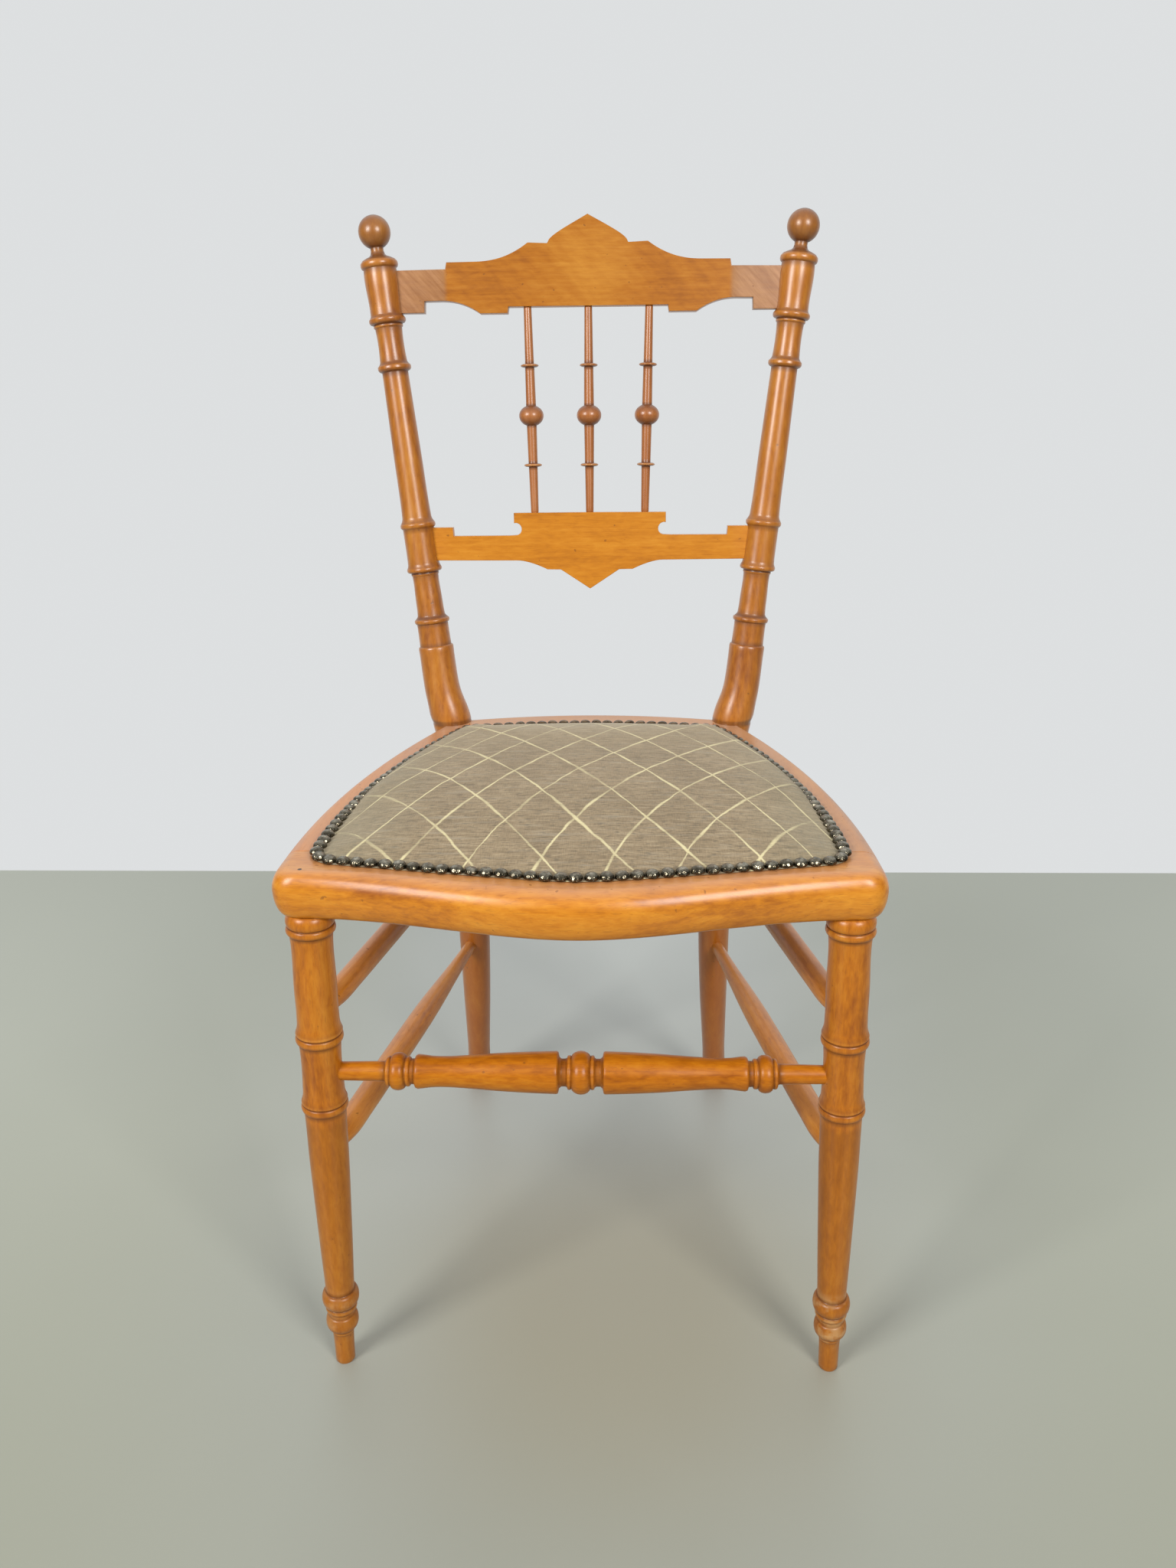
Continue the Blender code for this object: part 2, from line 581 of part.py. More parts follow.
def crest_half():
    """Right half of the crest board, from the middle of the top to the middle of the bottom (x, z in mm)."""
    end_top, end_low = 858.8, 822.9
    peak = []
    for k in range(7):
        t = k / 6
        rise = t + 0.125 * math.sin(math.pi * t**0.45)
        peak.append((36.0 * (1 - t), 879.3 + (902.6 - 879.3) * rise))
    out = list(reversed(peak))
    out += [(53.0, 880.0)]
    out += list(reversed(sweep(104.0, 864.9, 53.6, 879.9, 2.4)))
    out += [(126.4, 864.7), (127.6, 859.0)]
    out += [(post_x(end_top * MM) / MM - 14.4 + BOARD_INTO_POST / MM, end_top)]
    out += [(post_x(end_low * MM) / MM - 14.2 + BOARD_INTO_POST / MM, end_low)]
    out += [(147.6, end_low), (147.2, 832.6)]
    out += sweep(133.0, 832.8, 97.2, 821.8, 2.2)
    out += [(72.4, 821.8), (71.6, 827.2), (0.0, 827.2)]
    return out


def lower_half():
    """Right half of the lower board, from the middle of the top to the middle of the bottom (x, z in mm)."""
    end_top, end_low = 634.6, 604.3
    cx, cz, r = 69.7, 632.7, 5.6
    out = [(0.0, 647.7), (71.2, 647.5), (71.2, 638.1)]
    out += [(cx + r * math.cos(a), cz + r * math.sin(a)) for a in (math.radians(90 + 30 * k) for k in range(0, 7))]
    out += [(76.0, 626.8), (128.4, 626.7), (129.0, end_top)]
    out += [(post_x(end_top * MM) / MM - 14.5 + BOARD_INTO_POST / MM, end_top)]
    out += [(post_x(end_low * MM) / MM - 14.5 + BOARD_INTO_POST / MM, end_low)]
    out += sweep(68.0, 603.8, 40.2, 595.4, 1.6)
    out += [(27.6, 595.2), (0.0, 577.3)]
    return out


def board(name, half, thick, mid_z, mat):
    """Flat outline with its mirror image, filled and given its thickness, then made a mesh."""
    right = [Vector((x * MM, (z * MM - mid_z) * LEAN_STRETCH)) for x, z in half]
    left = [Vector((-p.x, p.y)) for p in reversed(right) if p.x > 1e-6]
    data = bpy.data.curves.new(name, "CURVE")
    data.dimensions = "2D"
    data.fill_mode = "BOTH"
    data.extrude = thick / 2
    line = data.splines.new("POLY")
    line.points.add(len(right) + len(left) - 1)
    for point, place in zip(line.points, right + left):
        point.co = (place.x, place.y, 0.0, 1.0)
    line.use_cyclic_u = True
    flat = bpy.data.objects.new(name + "_outline", data)
    bpy.context.scene.collection.objects.link(flat)
    mesh = bpy.data.meshes.new_from_object(flat.evaluated_get(bpy.context.evaluated_depsgraph_get()))
    bpy.data.objects.remove(flat, do_unlink=True)
    bm = bmesh.new()
    bm.from_mesh(mesh)
    bmesh.ops.remove_doubles(bm, verts=bm.verts, dist=0.00001)
    bmesh.ops.recalc_face_normals(bm, faces=bm.faces)
    bm.to_mesh(mesh)
    bm.free()
    mesh.name = name
    return add(name, mesh, mat, back_matrix(mid_z))


CREST_MID, LOWER_MID = 0.8402, 0.6184
crest = board("crest_rail", crest_half(), CREST_T, CREST_MID, FRUITWOOD)
lower = board("lower_back_rail", lower_half(), LOWER_T, LOWER_MID, FRUITWOOD)
for side in (LEFT, RIGHT):
    for what, mid, thick, top, low in (
        ("crest", CREST_MID, CREST_T, 0.8588, 0.8229), ("lower_rail", LOWER_MID, LOWER_T, 0.6346, 0.6043),
    ):
        inner = post_x(mid) - 0.030
        outer = post_x(top) - 0.0144 + BOARD_INTO_POST + 0.0006
        xs = sorted((side * inner, side * outer))
        slot = block(
            what + "_slot_" + NAMES[side],
            (xs[0], (low - mid) * LEAN_STRETCH - GAP, -thick / 2 - GAP),
            (xs[1], (top - mid) * LEAN_STRETCH + GAP, thick / 2 + GAP),
            back_matrix(mid),
        )
        boolean(posts[side], slot)

for name, side in (("left", LEFT), ("centre", 0), ("right", RIGHT)):
    low_z, high_z = 0.6476, 0.8272
    slope = (SPINDLE_TOP_X - SPINDLE_BOTTOM_X) / (high_z - low_z)
    into = SPINDLE_INTO - GAP
    start = back_point(side * (SPINDLE_BOTTOM_X - slope * into), low_z - into)
    end = back_point(side * (SPINDLE_TOP_X + slope * into), high_z + into)
    along = (end - start).normalized()
    length = (end - start).length
    turned_object("back_spindle_" + name, spindle_profile(length / MM), SIDES_SPINDLE, FRUITWOOD, aim(start, end))
    boolean(lower, rod("spindle_socket_low_" + name, start - along * 0.0005, start + along * 0.030, 0.0036, 10))
    boolean(crest, rod("spindle_socket_high_" + name, end - along * 0.030, end + along * 0.0005, 0.0036, 10))


# ---------------------------------------------------------------- upholstery
def nail_side_x(y):
    return NAIL_WIDEST - NAIL_CURVE * max(0.0, y - NAIL_FROM) ** 2


def nail_front_y(x):
    return NAIL_APEX + NAIL_SLOPE * x * x / (abs(x) + NAIL_SOFT)


def nail_back_y(x):
    return NAIL_BACK - NAIL_BACK_BOW * (x / NAIL_BACK_REF) ** 2


def nail_runs():
    """The four runs of the nail line, counter-clockwise from the front left corner."""
    half = [Vector((x, nail_front_y(x))) for x in (0.0, 0.02, 0.045, 0.075, 0.105, 0.135, 0.160)]
    corner = Vector((NAIL_WIDEST, nail_front_y(NAIL_WIDEST)))
    below = Vector((nail_side_x(corner.y + 0.016), corner.y + 0.016))
    arc = round_corner(Vector((0.174, nail_front_y(0.174))), corner, below, 4)
    front = half + [Vector((0.174, nail_front_y(0.174))), arc[0]]
    side = arc[1:] + [below]
    top = 0.1180
    for k in range(1, 9):
        y = below.y + (top - below.y) * k / 8
        side.append(Vector((nail_side_x(y), y)))
    rear = Vector((nail_side_x(0.137), 0.137))
    turn = round_corner(side[-1], rear, Vector((0.100, nail_back_y(0.100))), 4)
    side.append(turn[0])
    back = turn[1:] + [Vector((x, nail_back_y(x))) for x in (0.100, 0.075, 0.045, 0.015)]
    mirror = lambda run: [Vector((-p.x, p.y)) for p in reversed(run)]
    return mirror(front[1:]) + front, side, back + mirror(back), mirror(side)


def crown(point, depth):
    """Height of the pad at a distance from its edge: it rises later and faster along the back."""
    t = min(1.0, max(0.0, (point.y - 0.060) / 0.055))
    t = t * t * (3 - 2 * t)
    rise = CROWN_RISE + (CROWN_RISE_BACK - CROWN_RISE) * t
    return CROWN * (1 - math.exp(-max(0.0, depth - 0.003 * t) / rise))


def spread_ring(ring, inset):
    """The ring moved inwards by the given distance."""
    out = []
    for k, point in enumerate(ring):
        before, after = ring[k - 1], ring[(k + 1) % len(ring)]
        along = (after - before).normalized()
        out.append(point + Vector((-along.y, along.x)) * inset)
    return out


runs = nail_runs()
ring = [p for run in runs for p in run]
cover_edge = spread_ring(ring, -0.0030)
centre = Vector((0.0, -0.030))


def depth(point, edge):
    """Distance of a point of the plan from the edge."""
    best = 1.0
    for a, b in zip(edge, edge[1:] + edge[:1]):
        t = min(1.0, max(0.0, (point - a).dot(b - a) / (b - a).length_squared))
        best = min(best, (point - a - (b - a) * t).length)
    return best


def depths(shares, edge):
    """Rings that close on the middle, with the distance of each point from the edge."""
    for share in shares:
        ring_points = [centre + (p - centre) * share for p in edge]
        yield [(p, depth(p, edge)) for p in ring_points]


def cushion(name, edge, shares, top, bottom, mat):
    """Closed form between two height functions of the place and its distance from the edge."""
    bm = bmesh.new()
    layers = []
    for height in (top, bottom):
        rows = [[bm.verts.new((*p, height(p, d))) for p, d in row] for row in depths(shares, edge)]
        layers.append((rows, bm.verts.new((*centre, height(centre, depth(centre, edge))))))
    for (rows, middle), turn in zip(layers, (1, -1)):
        for a, b in zip(rows, rows[1:]):
            for k in range(len(a)):
                j = (k + 1) % len(a)
                bm.faces.new((a[k], a[j], b[j], b[k])[::turn])
        for k in range(len(edge)):
            bm.faces.new((rows[-1][k], rows[-1][(k + 1) % len(edge)], middle)[::turn])
    a, b = layers[0][0][0], layers[1][0][0]
    for k in range(len(edge)):
        j = (k + 1) % len(edge)
        bm.faces.new((a[k], b[k], b[j], a[j]))
    mesh = bpy.data.meshes.new(name)
    bm.to_mesh(mesh)
    bm.free()
    return add(name, mesh, mat)


STRAP_T, STRAP_W, HESSIAN_T = 0.0009, 0.050, 0.0006
LAYER_GAP = 0.0002
LONG_Z = SEAT_TOP + LAYER_GAP
CROSS_Z = LONG_Z + STRAP_T + LAYER_GAP
HESSIAN_Z = CROSS_Z + STRAP_T + LAYER_GAP
PADDING_Z = HESSIAN_Z + HESSIAN_T + LAYER_GAP
COVER_Z = SEAT_TOP + GAP

cover_top = lambda p, d: COVER_Z + COVER_T + crown(p, d - 0.006)
cover_low = lambda p, d: COVER_Z + crown(p, d - 0.006)
cushion("seat_cover", cover_edge, (1.0, 0.95, 0.90, 0.84, 0.76, 0.62, 0.40), cover_top, cover_low, CLOTH)

inner_edge = spread_ring(ring, INNER_INSET)[::2]
cushion(
    "seat_padding", inner_edge, (0.95, 0.76, 0.45),
    lambda p, d: max(PADDING_Z + 0.0004, cover_low(p, d + INNER_INSET + 0.003) - GAP - 0.0022), lambda p, d: PADDING_Z, STUFFING,
)
cushion("seat_hessian", inner_edge, (1.0, 0.5), lambda p, d: HESSIAN_Z + HESSIAN_T, lambda p, d: HESSIAN_Z, JUTE)

for name, x in (("left", -0.074), ("centre", 0.0), ("right", 0.074)):
    wide = abs(x) + STRAP_W / 2
    front = nail_front_y(wide) + STRAP_INSET + 0.004
    rear = nail_back_y(wide) - STRAP_INSET - 0.003
    block("webbing_long_" + name, (x - STRAP_W / 2, front, LONG_Z), (x + STRAP_W / 2, rear, LONG_Z + STRAP_T), None, False, JUTE)
for name, y in (("front", -0.118), ("middle", -0.036), ("back", 0.046)):
    wide = nail_side_x(y + STRAP_W / 2) - STRAP_INSET - 0.003
    block("webbing_cross_" + name, (-wide, y - STRAP_W / 2, CROSS_Z), (wide, y + STRAP_W / 2, CROSS_Z + STRAP_T), None, False, JUTE)

NAIL_Z = COVER_Z + COVER_T + GAP
for name, run in zip(("front", "right", "back", "left"), runs):
    sections = []
    for k, point in enumerate(run):
        before, after = run[max(0, k - 1)], run[min(len(run) - 1, k + 1)]
        along = (after - before).normalized()
        across = Vector((along.y, -along.x))
        if k == 0:
            point = point + along * 0.0012
        if k == len(run) - 1:
            point = point - along * 0.0012
        lift = NAIL_Z + 0.0014
        tall = (NAIL_H_BACK if name == "back" else NAIL_H) - 0.0012
        section = []
        for j in range(5):
            a = math.pi * j / 4
            place = point + across * (NAIL_W / 2 * math.cos(a))
            section.append(Vector((*place, lift + tall * math.sin(a))))
        sections.append(section)
    loft("nail_row_" + name, sections, NAIL_METAL)

for piece in chair.objects:
    if piece.type == "MESH" and len(piece.data.polygons):
        piece.data.shade_smooth()
        piece.data.set_sharp_from_angle(angle=math.radians(35))
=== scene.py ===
"""Looks of a turned side chair with a nailed cloth seat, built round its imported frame.

Metres, +Z up, the sitter faces -Y. Shapes repeat the frame's own dimensions at a finer step.
"""

import math
import random

import bmesh
import bpy
from mathutils import Matrix, Vector


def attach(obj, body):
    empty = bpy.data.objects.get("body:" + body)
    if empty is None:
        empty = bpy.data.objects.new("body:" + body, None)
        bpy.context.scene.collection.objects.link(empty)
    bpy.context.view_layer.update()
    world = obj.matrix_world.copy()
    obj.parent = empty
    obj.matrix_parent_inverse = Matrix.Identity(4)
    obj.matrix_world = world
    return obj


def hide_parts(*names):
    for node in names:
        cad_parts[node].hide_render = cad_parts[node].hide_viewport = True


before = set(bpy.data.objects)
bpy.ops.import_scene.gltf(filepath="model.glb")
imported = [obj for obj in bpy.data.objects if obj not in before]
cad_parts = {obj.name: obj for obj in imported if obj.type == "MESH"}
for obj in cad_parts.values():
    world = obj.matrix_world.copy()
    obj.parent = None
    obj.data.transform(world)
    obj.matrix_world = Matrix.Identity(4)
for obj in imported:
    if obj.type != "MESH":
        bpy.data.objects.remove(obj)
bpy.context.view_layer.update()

MM = 0.001
LEFT, RIGHT = -1, 1
NAMES = {LEFT: "left", RIGHT: "right"}

# ---------------------------------------------------------------- dimensions
CHAIR_Y = 0.00839
GAP = 0.0003

SEAT_TOP, SEAT_MID, SEAT_BOTTOM = 0.450, 0.4335, 0.4145
EDGE_TOP, EDGE_TOP_REAR, EDGE_BOTTOM = 0.0135, 0.0065, 0.0075
SIDE_WIDEST, SIDE_CURVE, SIDE_FROM = 0.2190, 0.684, -0.185
FRONT_APEX, FRONT_BOW, FRONT_REF = -0.2375, 0.0345, 0.2118
CORNER_R = 0.019
FRONT_JOINT, REAR_JOINT = -0.160, 0.1500
SIDE_RAIL_W = 0.062
BACK_RAIL_IN, BACK_RAIL_HALF = 0.118, 0.1184
BACK_APEX, BACK_BOW = 0.1880, 0.0155

NAIL_WIDEST, NAIL_CURVE, NAIL_FROM = 0.1905, 0.79, -0.170
NAIL_APEX, NAIL_SLOPE, NAIL_SOFT = -0.2115, 0.190, 0.029
NAIL_BACK, NAIL_BACK_BOW, NAIL_BACK_REF = 0.146, 0.012, 0.110
NAIL_PITCH, NAIL_D, NAIL_H, NAIL_H_BACK = 0.0106, 0.0105, 0.0051, 0.0030
COVER_T = 0.0010
CROWN, CROWN_RISE, CROWN_RISE_BACK = 0.0109, 0.037, 0.0075
INNER_INSET, STRAP_INSET = 0.020, 0.012
STRAP_T, STRAP_W, HESSIAN_T, LAYER_GAP = 0.0009, 0.050, 0.0006, 0.0002

BACK_Z0, BACK_Y0, BACK_LEAN = 0.5214, 0.1680, 0.1031
POST_X0, POST_SPREAD = 0.1499, 0.1093
CREST_T, LOWER_T = 0.011, 0.010
CREST_MID, LOWER_MID = 0.8402, 0.6184
BOARD_INTO_POST = 0.0115
SPINDLE_TOP_X, SPINDLE_BOTTOM_X, SPINDLE_INTO = 0.0548, 0.0516, 0.012

FRONT_FOOT, FRONT_TOP = (0.2012, -0.1907, 0.0), (0.1949, -0.1850, 0.3990)
POST_AXIS = (
    (0.000, 0.1345, 0.2100, -0.050, -0.250),
    (0.206, 0.1254, 0.1615, -0.022, -0.130),
    (0.320, 0.1260, 0.1545, 0.035, -0.010),
    (0.450, 0.1367, 0.1595, 0.260, 0.095),
    (0.485, 0.1457, 0.1635, 0.150, 0.130),
    (0.5214, 0.1499, 0.1680, 0.112, 0.108),
    (0.560, 0.15412, 0.17198, POST_SPREAD, BACK_LEAN),
    (0.920, 0.19347, 0.20910, POST_SPREAD, BACK_LEAN),
)
FRONT_STRETCHER_Z = 0.2795
UPPER_FRONT_Z, UPPER_REAR_Z = 0.3275, 0.3230
LOWER_FRONT_Z, LOWER_REAR_Z = 0.2045, 0.2080
REAR_STRETCHER_Z = 0.2585
STICK_END_D = 12.0
LOWER_STICK_D, UPPER_STICK_D, REAR_STICK_D = 21.2, 19.0, 20.0
TENON_DEEP = 0.0135
LEG_TENON_D, LEG_TENON_Z = 20.0, 438.0

ARC = 10
PLACE = Matrix.Translation((0.0, CHAIR_Y, 0.0))
LEAN = math.atan(BACK_LEAN)
LEAN_STRETCH = math.sqrt(1 + BACK_LEAN**2)


# ------------------------------------------------------------ node building
class Tree:
    """A material and short calls for its nodes."""

    def __init__(self, name):
        self.mat = bpy.data.materials.new(name)
        self.mat.use_nodes = True
        self.nodes, self.links = self.mat.node_tree.nodes, self.mat.node_tree.links
        self.shader = self.nodes["Principled BSDF"]

    def put(self, value, socket):
        if isinstance(value, bpy.types.NodeSocket):
            self.links.new(value, socket)
        elif value is not None:
            socket.default_value = value

    def math(self, operation, a, b=None, c=None, clamp=False):
        node = self.nodes.new("ShaderNodeMath")
        node.operation, node.use_clamp = operation, clamp
        for value, socket in zip((a, b, c), node.inputs):
            self.put(value, socket)
        return node.outputs[0]

    def vector(self, operation, a, b=None):
        node = self.nodes.new("ShaderNodeVectorMath")
        node.operation = operation
        self.put(a, node.inputs[0])
        self.put(b, node.inputs[1])
        return node.outputs["Value" if operation in ("DISTANCE", "LENGTH", "DOT_PRODUCT") else "Vector"]

    def mix(self, factor, a, b, blend="MIX"):
        node = self.nodes.new("ShaderNodeMix")
        node.data_type, node.blend_type, node.clamp_factor = "RGBA", blend, True
        self.put(factor, node.inputs[0])
        for value, socket in ((a, node.inputs[6]), (b, node.inputs[7])):
            self.put((*value, 1.0) if isinstance(value, tuple) and len(value) == 3 else value, socket)
        return node.outputs[2]

    def ramp(self, factor, stops, easing="LINEAR"):
        node = self.nodes.new("ShaderNodeValToRGB")
        node.color_ramp.interpolation = easing
        elements = node.color_ramp.elements
        while len(elements) < len(stops):
            elements.new(0.5)
        for element, (place, colour) in zip(elements, stops):
            element.position = place
            element.color = (*colour, 1.0) if isinstance(colour, tuple) else (colour, colour, colour, 1.0)
        self.links.new(factor, node.inputs[0])
        return node.outputs[0]

    def span(self, value, low, high, to_low=0.0, to_high=1.0, smooth=False):
        node = self.nodes.new("ShaderNodeMapRange")
        node.clamp = True
        node.interpolation_type = "SMOOTHSTEP" if smooth else "LINEAR"
        self.put(value, node.inputs[0])
        for socket, number in zip(node.inputs[1:5], (low, high, to_low, to_high)):
            socket.default_value = number
        return node.outputs[0]

    def place(self, scale=(1, 1, 1), shift=(0, 0, 0), turn=(0, 0, 0), source=None):
        if source is None:
            source = self.coords()
        node = self.nodes.new("ShaderNodeMapping")
        self.links.new(source, node.inputs["Vector"])
        node.inputs["Location"].default_value = shift
        node.inputs["Rotation"].default_value = turn
        node.inputs["Scale"].default_value = scale
        return node.outputs[0]

    def coords(self):
        if not hasattr(self, "_coords"):
            self._coords = self.nodes.new("ShaderNodeTexCoord").outputs["Object"]
        return self._coords

    def parts(self, vector=None):
        node = self.nodes.new("ShaderNodeSeparateXYZ")
        self.links.new(vector if vector is not None else self.coords(), node.inputs[0])
        return node.outputs

    def noise(self, vector, scale, detail=2.0, rough=0.5, warp=0.0):
        node = self.nodes.new("ShaderNodeTexNoise")
        self.links.new(vector, node.inputs["Vector"])
        node.inputs["Scale"].default_value = scale
        node.inputs["Detail"].default_value = detail
        node.inputs["Roughness"].default_value = rough
        node.inputs["Distortion"].default_value = warp
        return node.outputs[0]

    def attribute(self, name):
        node = self.nodes.new("ShaderNodeAttribute")
        node.attribute_name = name
        return node.outputs["Fac"]

    def bump(self, height, strength, distance, under=None):
        node = self.nodes.new("ShaderNodeBump")
        node.inputs["Strength"].default_value = strength
        node.inputs["Distance"].default_value = distance
        self.links.new(height, node.inputs["Height"])
        if under is not None:
            self.links.new(under, node.inputs["Normal"])
        return node.outputs[0]

    def shade(self, **sockets):
        for name, value in sockets.items():
            name = name.replace("_", " ")
            if isinstance(value, tuple) and len(value) == 3 and name.endswith(("Color", "Tint")):
                value = (*value, 1.0)
            self.put(value, self.shader.inputs[name])
        return self.mat


WOOD_DARK, WOOD_MID, WOOD_LIGHT = (0.285, 0.078, 0.007), (0.520, 0.182, 0.011), (0.660, 0.280, 0.027)


def wood(name, along, seed, tint=(1.0, 1.0, 1.0), figure=0.0, spots=(), worn=(), fleck=0.16, clouds=(), ends=None, dust_and_sheen=0.0, slant=0.22, calm=1.0, mottle=0.40, gloss=(0.28, 0.32, 0.25), bands=(), groove_grime_and_shade=0.80):
    """Varnished fruitwood with its grain along one local axis.

    spots are small dark holes: a place and a radius. clouds are soft lighter or darker areas: a place,
    a radius and an amount. ends is the distance from the middle past which the wood is painted duller and pinker, a
    painted reflection of the side light on the eased ends.
    dust_and_sheen is how far upward faces are painted pale, with dusty varnish and a painted sheen of the light from
    above. slant is the lean of the flames, calm the strength of the long streaks and mottle that of the short ones.
    gloss holds the specular level, the coat's weight and the coat's roughness.
    bands are stretches of another tone: two heights, a colour and an amount. groove_grime_and_shade is how dark the low
    places are, with old wax and dirt and painted shade in the grooves.
    """
    t = Tree(name)
    rng = random.Random(seed)
    shift = tuple(rng.uniform(-3, 3) for _ in range(3))

    def stretched(share, turn=(0, 0, 0)):
        return t.place(tuple(share if axis == along else 1.0 for axis in "XYZ"), shift, turn)

    streak = t.noise(stretched(0.07), 55.0, 4.0, 0.55, 0.5)
    fine = t.noise(stretched(0.035), 330.0, 3.0, 0.6, 0.3)
    fibre = t.noise(stretched(0.05), 1500.0, 2.0, 0.6)
    blotch = t.noise(t.place((1, 1, 1), shift), 11.0, 2.0, 0.5, 0.6)
    tone = t.math("MULTIPLY_ADD", t.math("SUBTRACT", streak, 0.5), 0.80 * calm, 0.5)
    tone = t.math("MULTIPLY_ADD", t.math("SUBTRACT", fine, 0.5), 0.38, tone)
    tone = t.math("MULTIPLY_ADD", t.math("SUBTRACT", fibre, 0.5), 0.22, tone)
    tone = t.math("MULTIPLY_ADD", t.math("SUBTRACT", blotch, 0.5), 0.50 * calm, tone)
    patches = t.noise(stretched(0.32), 250.0, 2.0, 0.6, 0.4)
    tone = t.math("MULTIPLY_ADD", t.math("SUBTRACT", patches, 0.5), mottle, tone)
    if figure:
        # long flames that run a little across the board
        flame = t.noise(t.place((0.16, 1.0, 1.0), (shift[0], shift[1], 0.0), source=t.place(turn=(0.0, 0.0, slant))), 75.0, 3.0, 0.55, 0.6)
        tone = t.math("MULTIPLY_ADD", t.math("SUBTRACT", flame, 0.5), figure, tone)
    ragged = t.noise(stretched(0.30), 48.0, 3.0, 0.6, 0.8) if clouds else None
    for place, radius, amount in clouds:
        near = t.math("MULTIPLY_ADD", t.math("SUBTRACT", ragged, 0.5), radius * 1.3, t.vector("DISTANCE", t.coords(), place))
        tone = t.math("MULTIPLY_ADD", t.span(near, radius, radius * 0.15, smooth=True), amount, tone)
    colour = t.ramp(tone, ((0.12, WOOD_DARK), (0.50, WOOD_MID), (0.88, WOOD_LIGHT)))
    colour = t.mix(1.0, colour, tint, "MULTIPLY")
    # painted reflection: past the ends the wood is painted duller and pinker, as the eased faces there reflect the side
    # light
    if ends is not None:
        far = t.span(t.math("ABSOLUTE", t.parts()[0]), ends - 0.0025, ends + 0.0025, smooth=True)
        grain = t.span(t.noise(t.place((0.12, 1.0, 1.0), shift, source=t.place(turn=(0.0, 0.0, 0.80))), 260.0, 3.0, 0.6, 0.3), 0.35, 0.65)
        colour = t.mix(t.math("MULTIPLY", far, 0.66), colour, t.mix(grain, (0.255, 0.122, 0.056), (0.400, 0.218, 0.112)))

    # upward faces painted paler: dusty varnish, and a painted sheen of the light from above, stronger towards the back
    if dust_and_sheen:
        facing = t.nodes.new("ShaderNodeNewGeometry").outputs["Normal"]
        upward = t.span(t.parts(facing)[2], 0.55, 0.97, smooth=True)
        upward = t.math("MULTIPLY", upward, t.span(t.noise(stretched(0.25), 38.0, 3.0, 0.6, 0.5), 0.30, 0.65, 0.70, 1.0))
        upward = t.math("MULTIPLY", upward, t.span(t.parts()[1], -0.02, 0.12, 1.0, 1.40, smooth=True))
        colour = t.mix(t.math("MULTIPLY", upward, dust_and_sheen), colour, (0.515, 0.290, 0.172))
    flecks = t.span(t.noise(stretched(0.13), 900.0, 1.0, 0.5), 0.60, 0.72)
    colour = t.mix(t.math("MULTIPLY", flecks, fleck), colour, (0.235, 0.072, 0.010))

    for low, high, other, amount in bands:
        fade = min(0.008, high - low)
        area = t.math("MULTIPLY", t.span(t.parts()[2], high + fade, high, smooth=True), t.span(t.parts()[2], low - fade, low, smooth=True))
        colour = t.mix(t.math("MULTIPLY", t.math("MULTIPLY", area, t.span(tone, 0.15, 0.75, 1.0, 0.65)), amount), colour, other)

    # wear on the high places; old wax and dirt in the low ones, with painted shade in the grooves
    ridge, groove = t.attribute("ridge"), t.attribute("groove")
    rub = t.math("MULTIPLY", ridge, t.span(blotch, 0.35, 0.7, 0.10, 0.50))
    colour = t.mix(rub, colour, (0.700, 0.365, 0.105))
    if worn:
        low, high, amount = worn
        area = t.math("MULTIPLY", t.span(t.parts()[2], high + 0.012, high), t.span(t.parts()[2], low - 0.012, low))
        patch = t.span(t.noise(t.place((1, 1, 1), shift), 70.0, 3.0, 0.65), 0.44, 0.60)
        colour = t.mix(t.math("MULTIPLY", t.math("MULTIPLY", area, patch), amount), colour, (0.56, 0.34, 0.145))
    # low places darkened: old wax and dirt, and painted shade in the grooves under and between the rings
    colour = t.mix(t.math("MULTIPLY", groove, groove_grime_and_shade), colour, (0.105, 0.028, 0.005))

    # stray dents and dark specks in the varnish
    speck_noise = t.noise(t.place((1, 1, 1), shift), 210.0, 1.0, 0.4)
    specks = t.span(speck_noise, 0.755, 0.785)
    colour = t.mix(t.math("MULTIPLY", specks, 0.5), colour, (0.14, 0.045, 0.010))
    for place, radius in spots:
        near = t.vector("DISTANCE", t.coords(), place)
        colour = t.mix(t.span(near, radius * 1.25, radius * 0.75, smooth=True), colour, (0.030, 0.012, 0.005))

    rough = t.math("MULTIPLY_ADD", t.math("SUBTRACT", fine, 0.5), 0.14, 0.35)
    rough = t.math("MULTIPLY_ADD", groove, 0.25, rough)
    height = t.math("MULTIPLY_ADD", fibre, 0.35, t.math("MULTIPLY", fine, 0.65))
    height = t.math("SUBTRACT", height, t.math("MULTIPLY", specks, 0.8))
    normal = t.bump(height, 0.16, 0.00025)
    return t.shade(
        Base_Color=colour, Roughness=rough, Normal=normal, IOR=1.50,
        Specular_IOR_Level=gloss[0], Coat_Weight=gloss[1], Coat_Roughness=gloss[2], Coat_IOR=1.5,
    )


# line number of each family of the trellis over the plan, in units of 0.1 m: powers of x, by power of y
TRELLIS = (
    ((4.3825, 1.8295, 0.0801, 0.0006, 0.0551), (1.1826, 0.0214, 0.0785, -0.0238), (0.1101, 0.0096, -0.0021), (-0.0171, 0.0017), (-0.0199,)),
    ((2.7698, 1.8299, -0.1781, 0.0678, -0.0358), (-1.2370, -0.0030, -0.1260, 0.0387), (-0.1147, 0.0810, -0.0036), (0.0220, 0.0197), (0.0002,)),
)
LINE_SPACING = 46.0        # mm


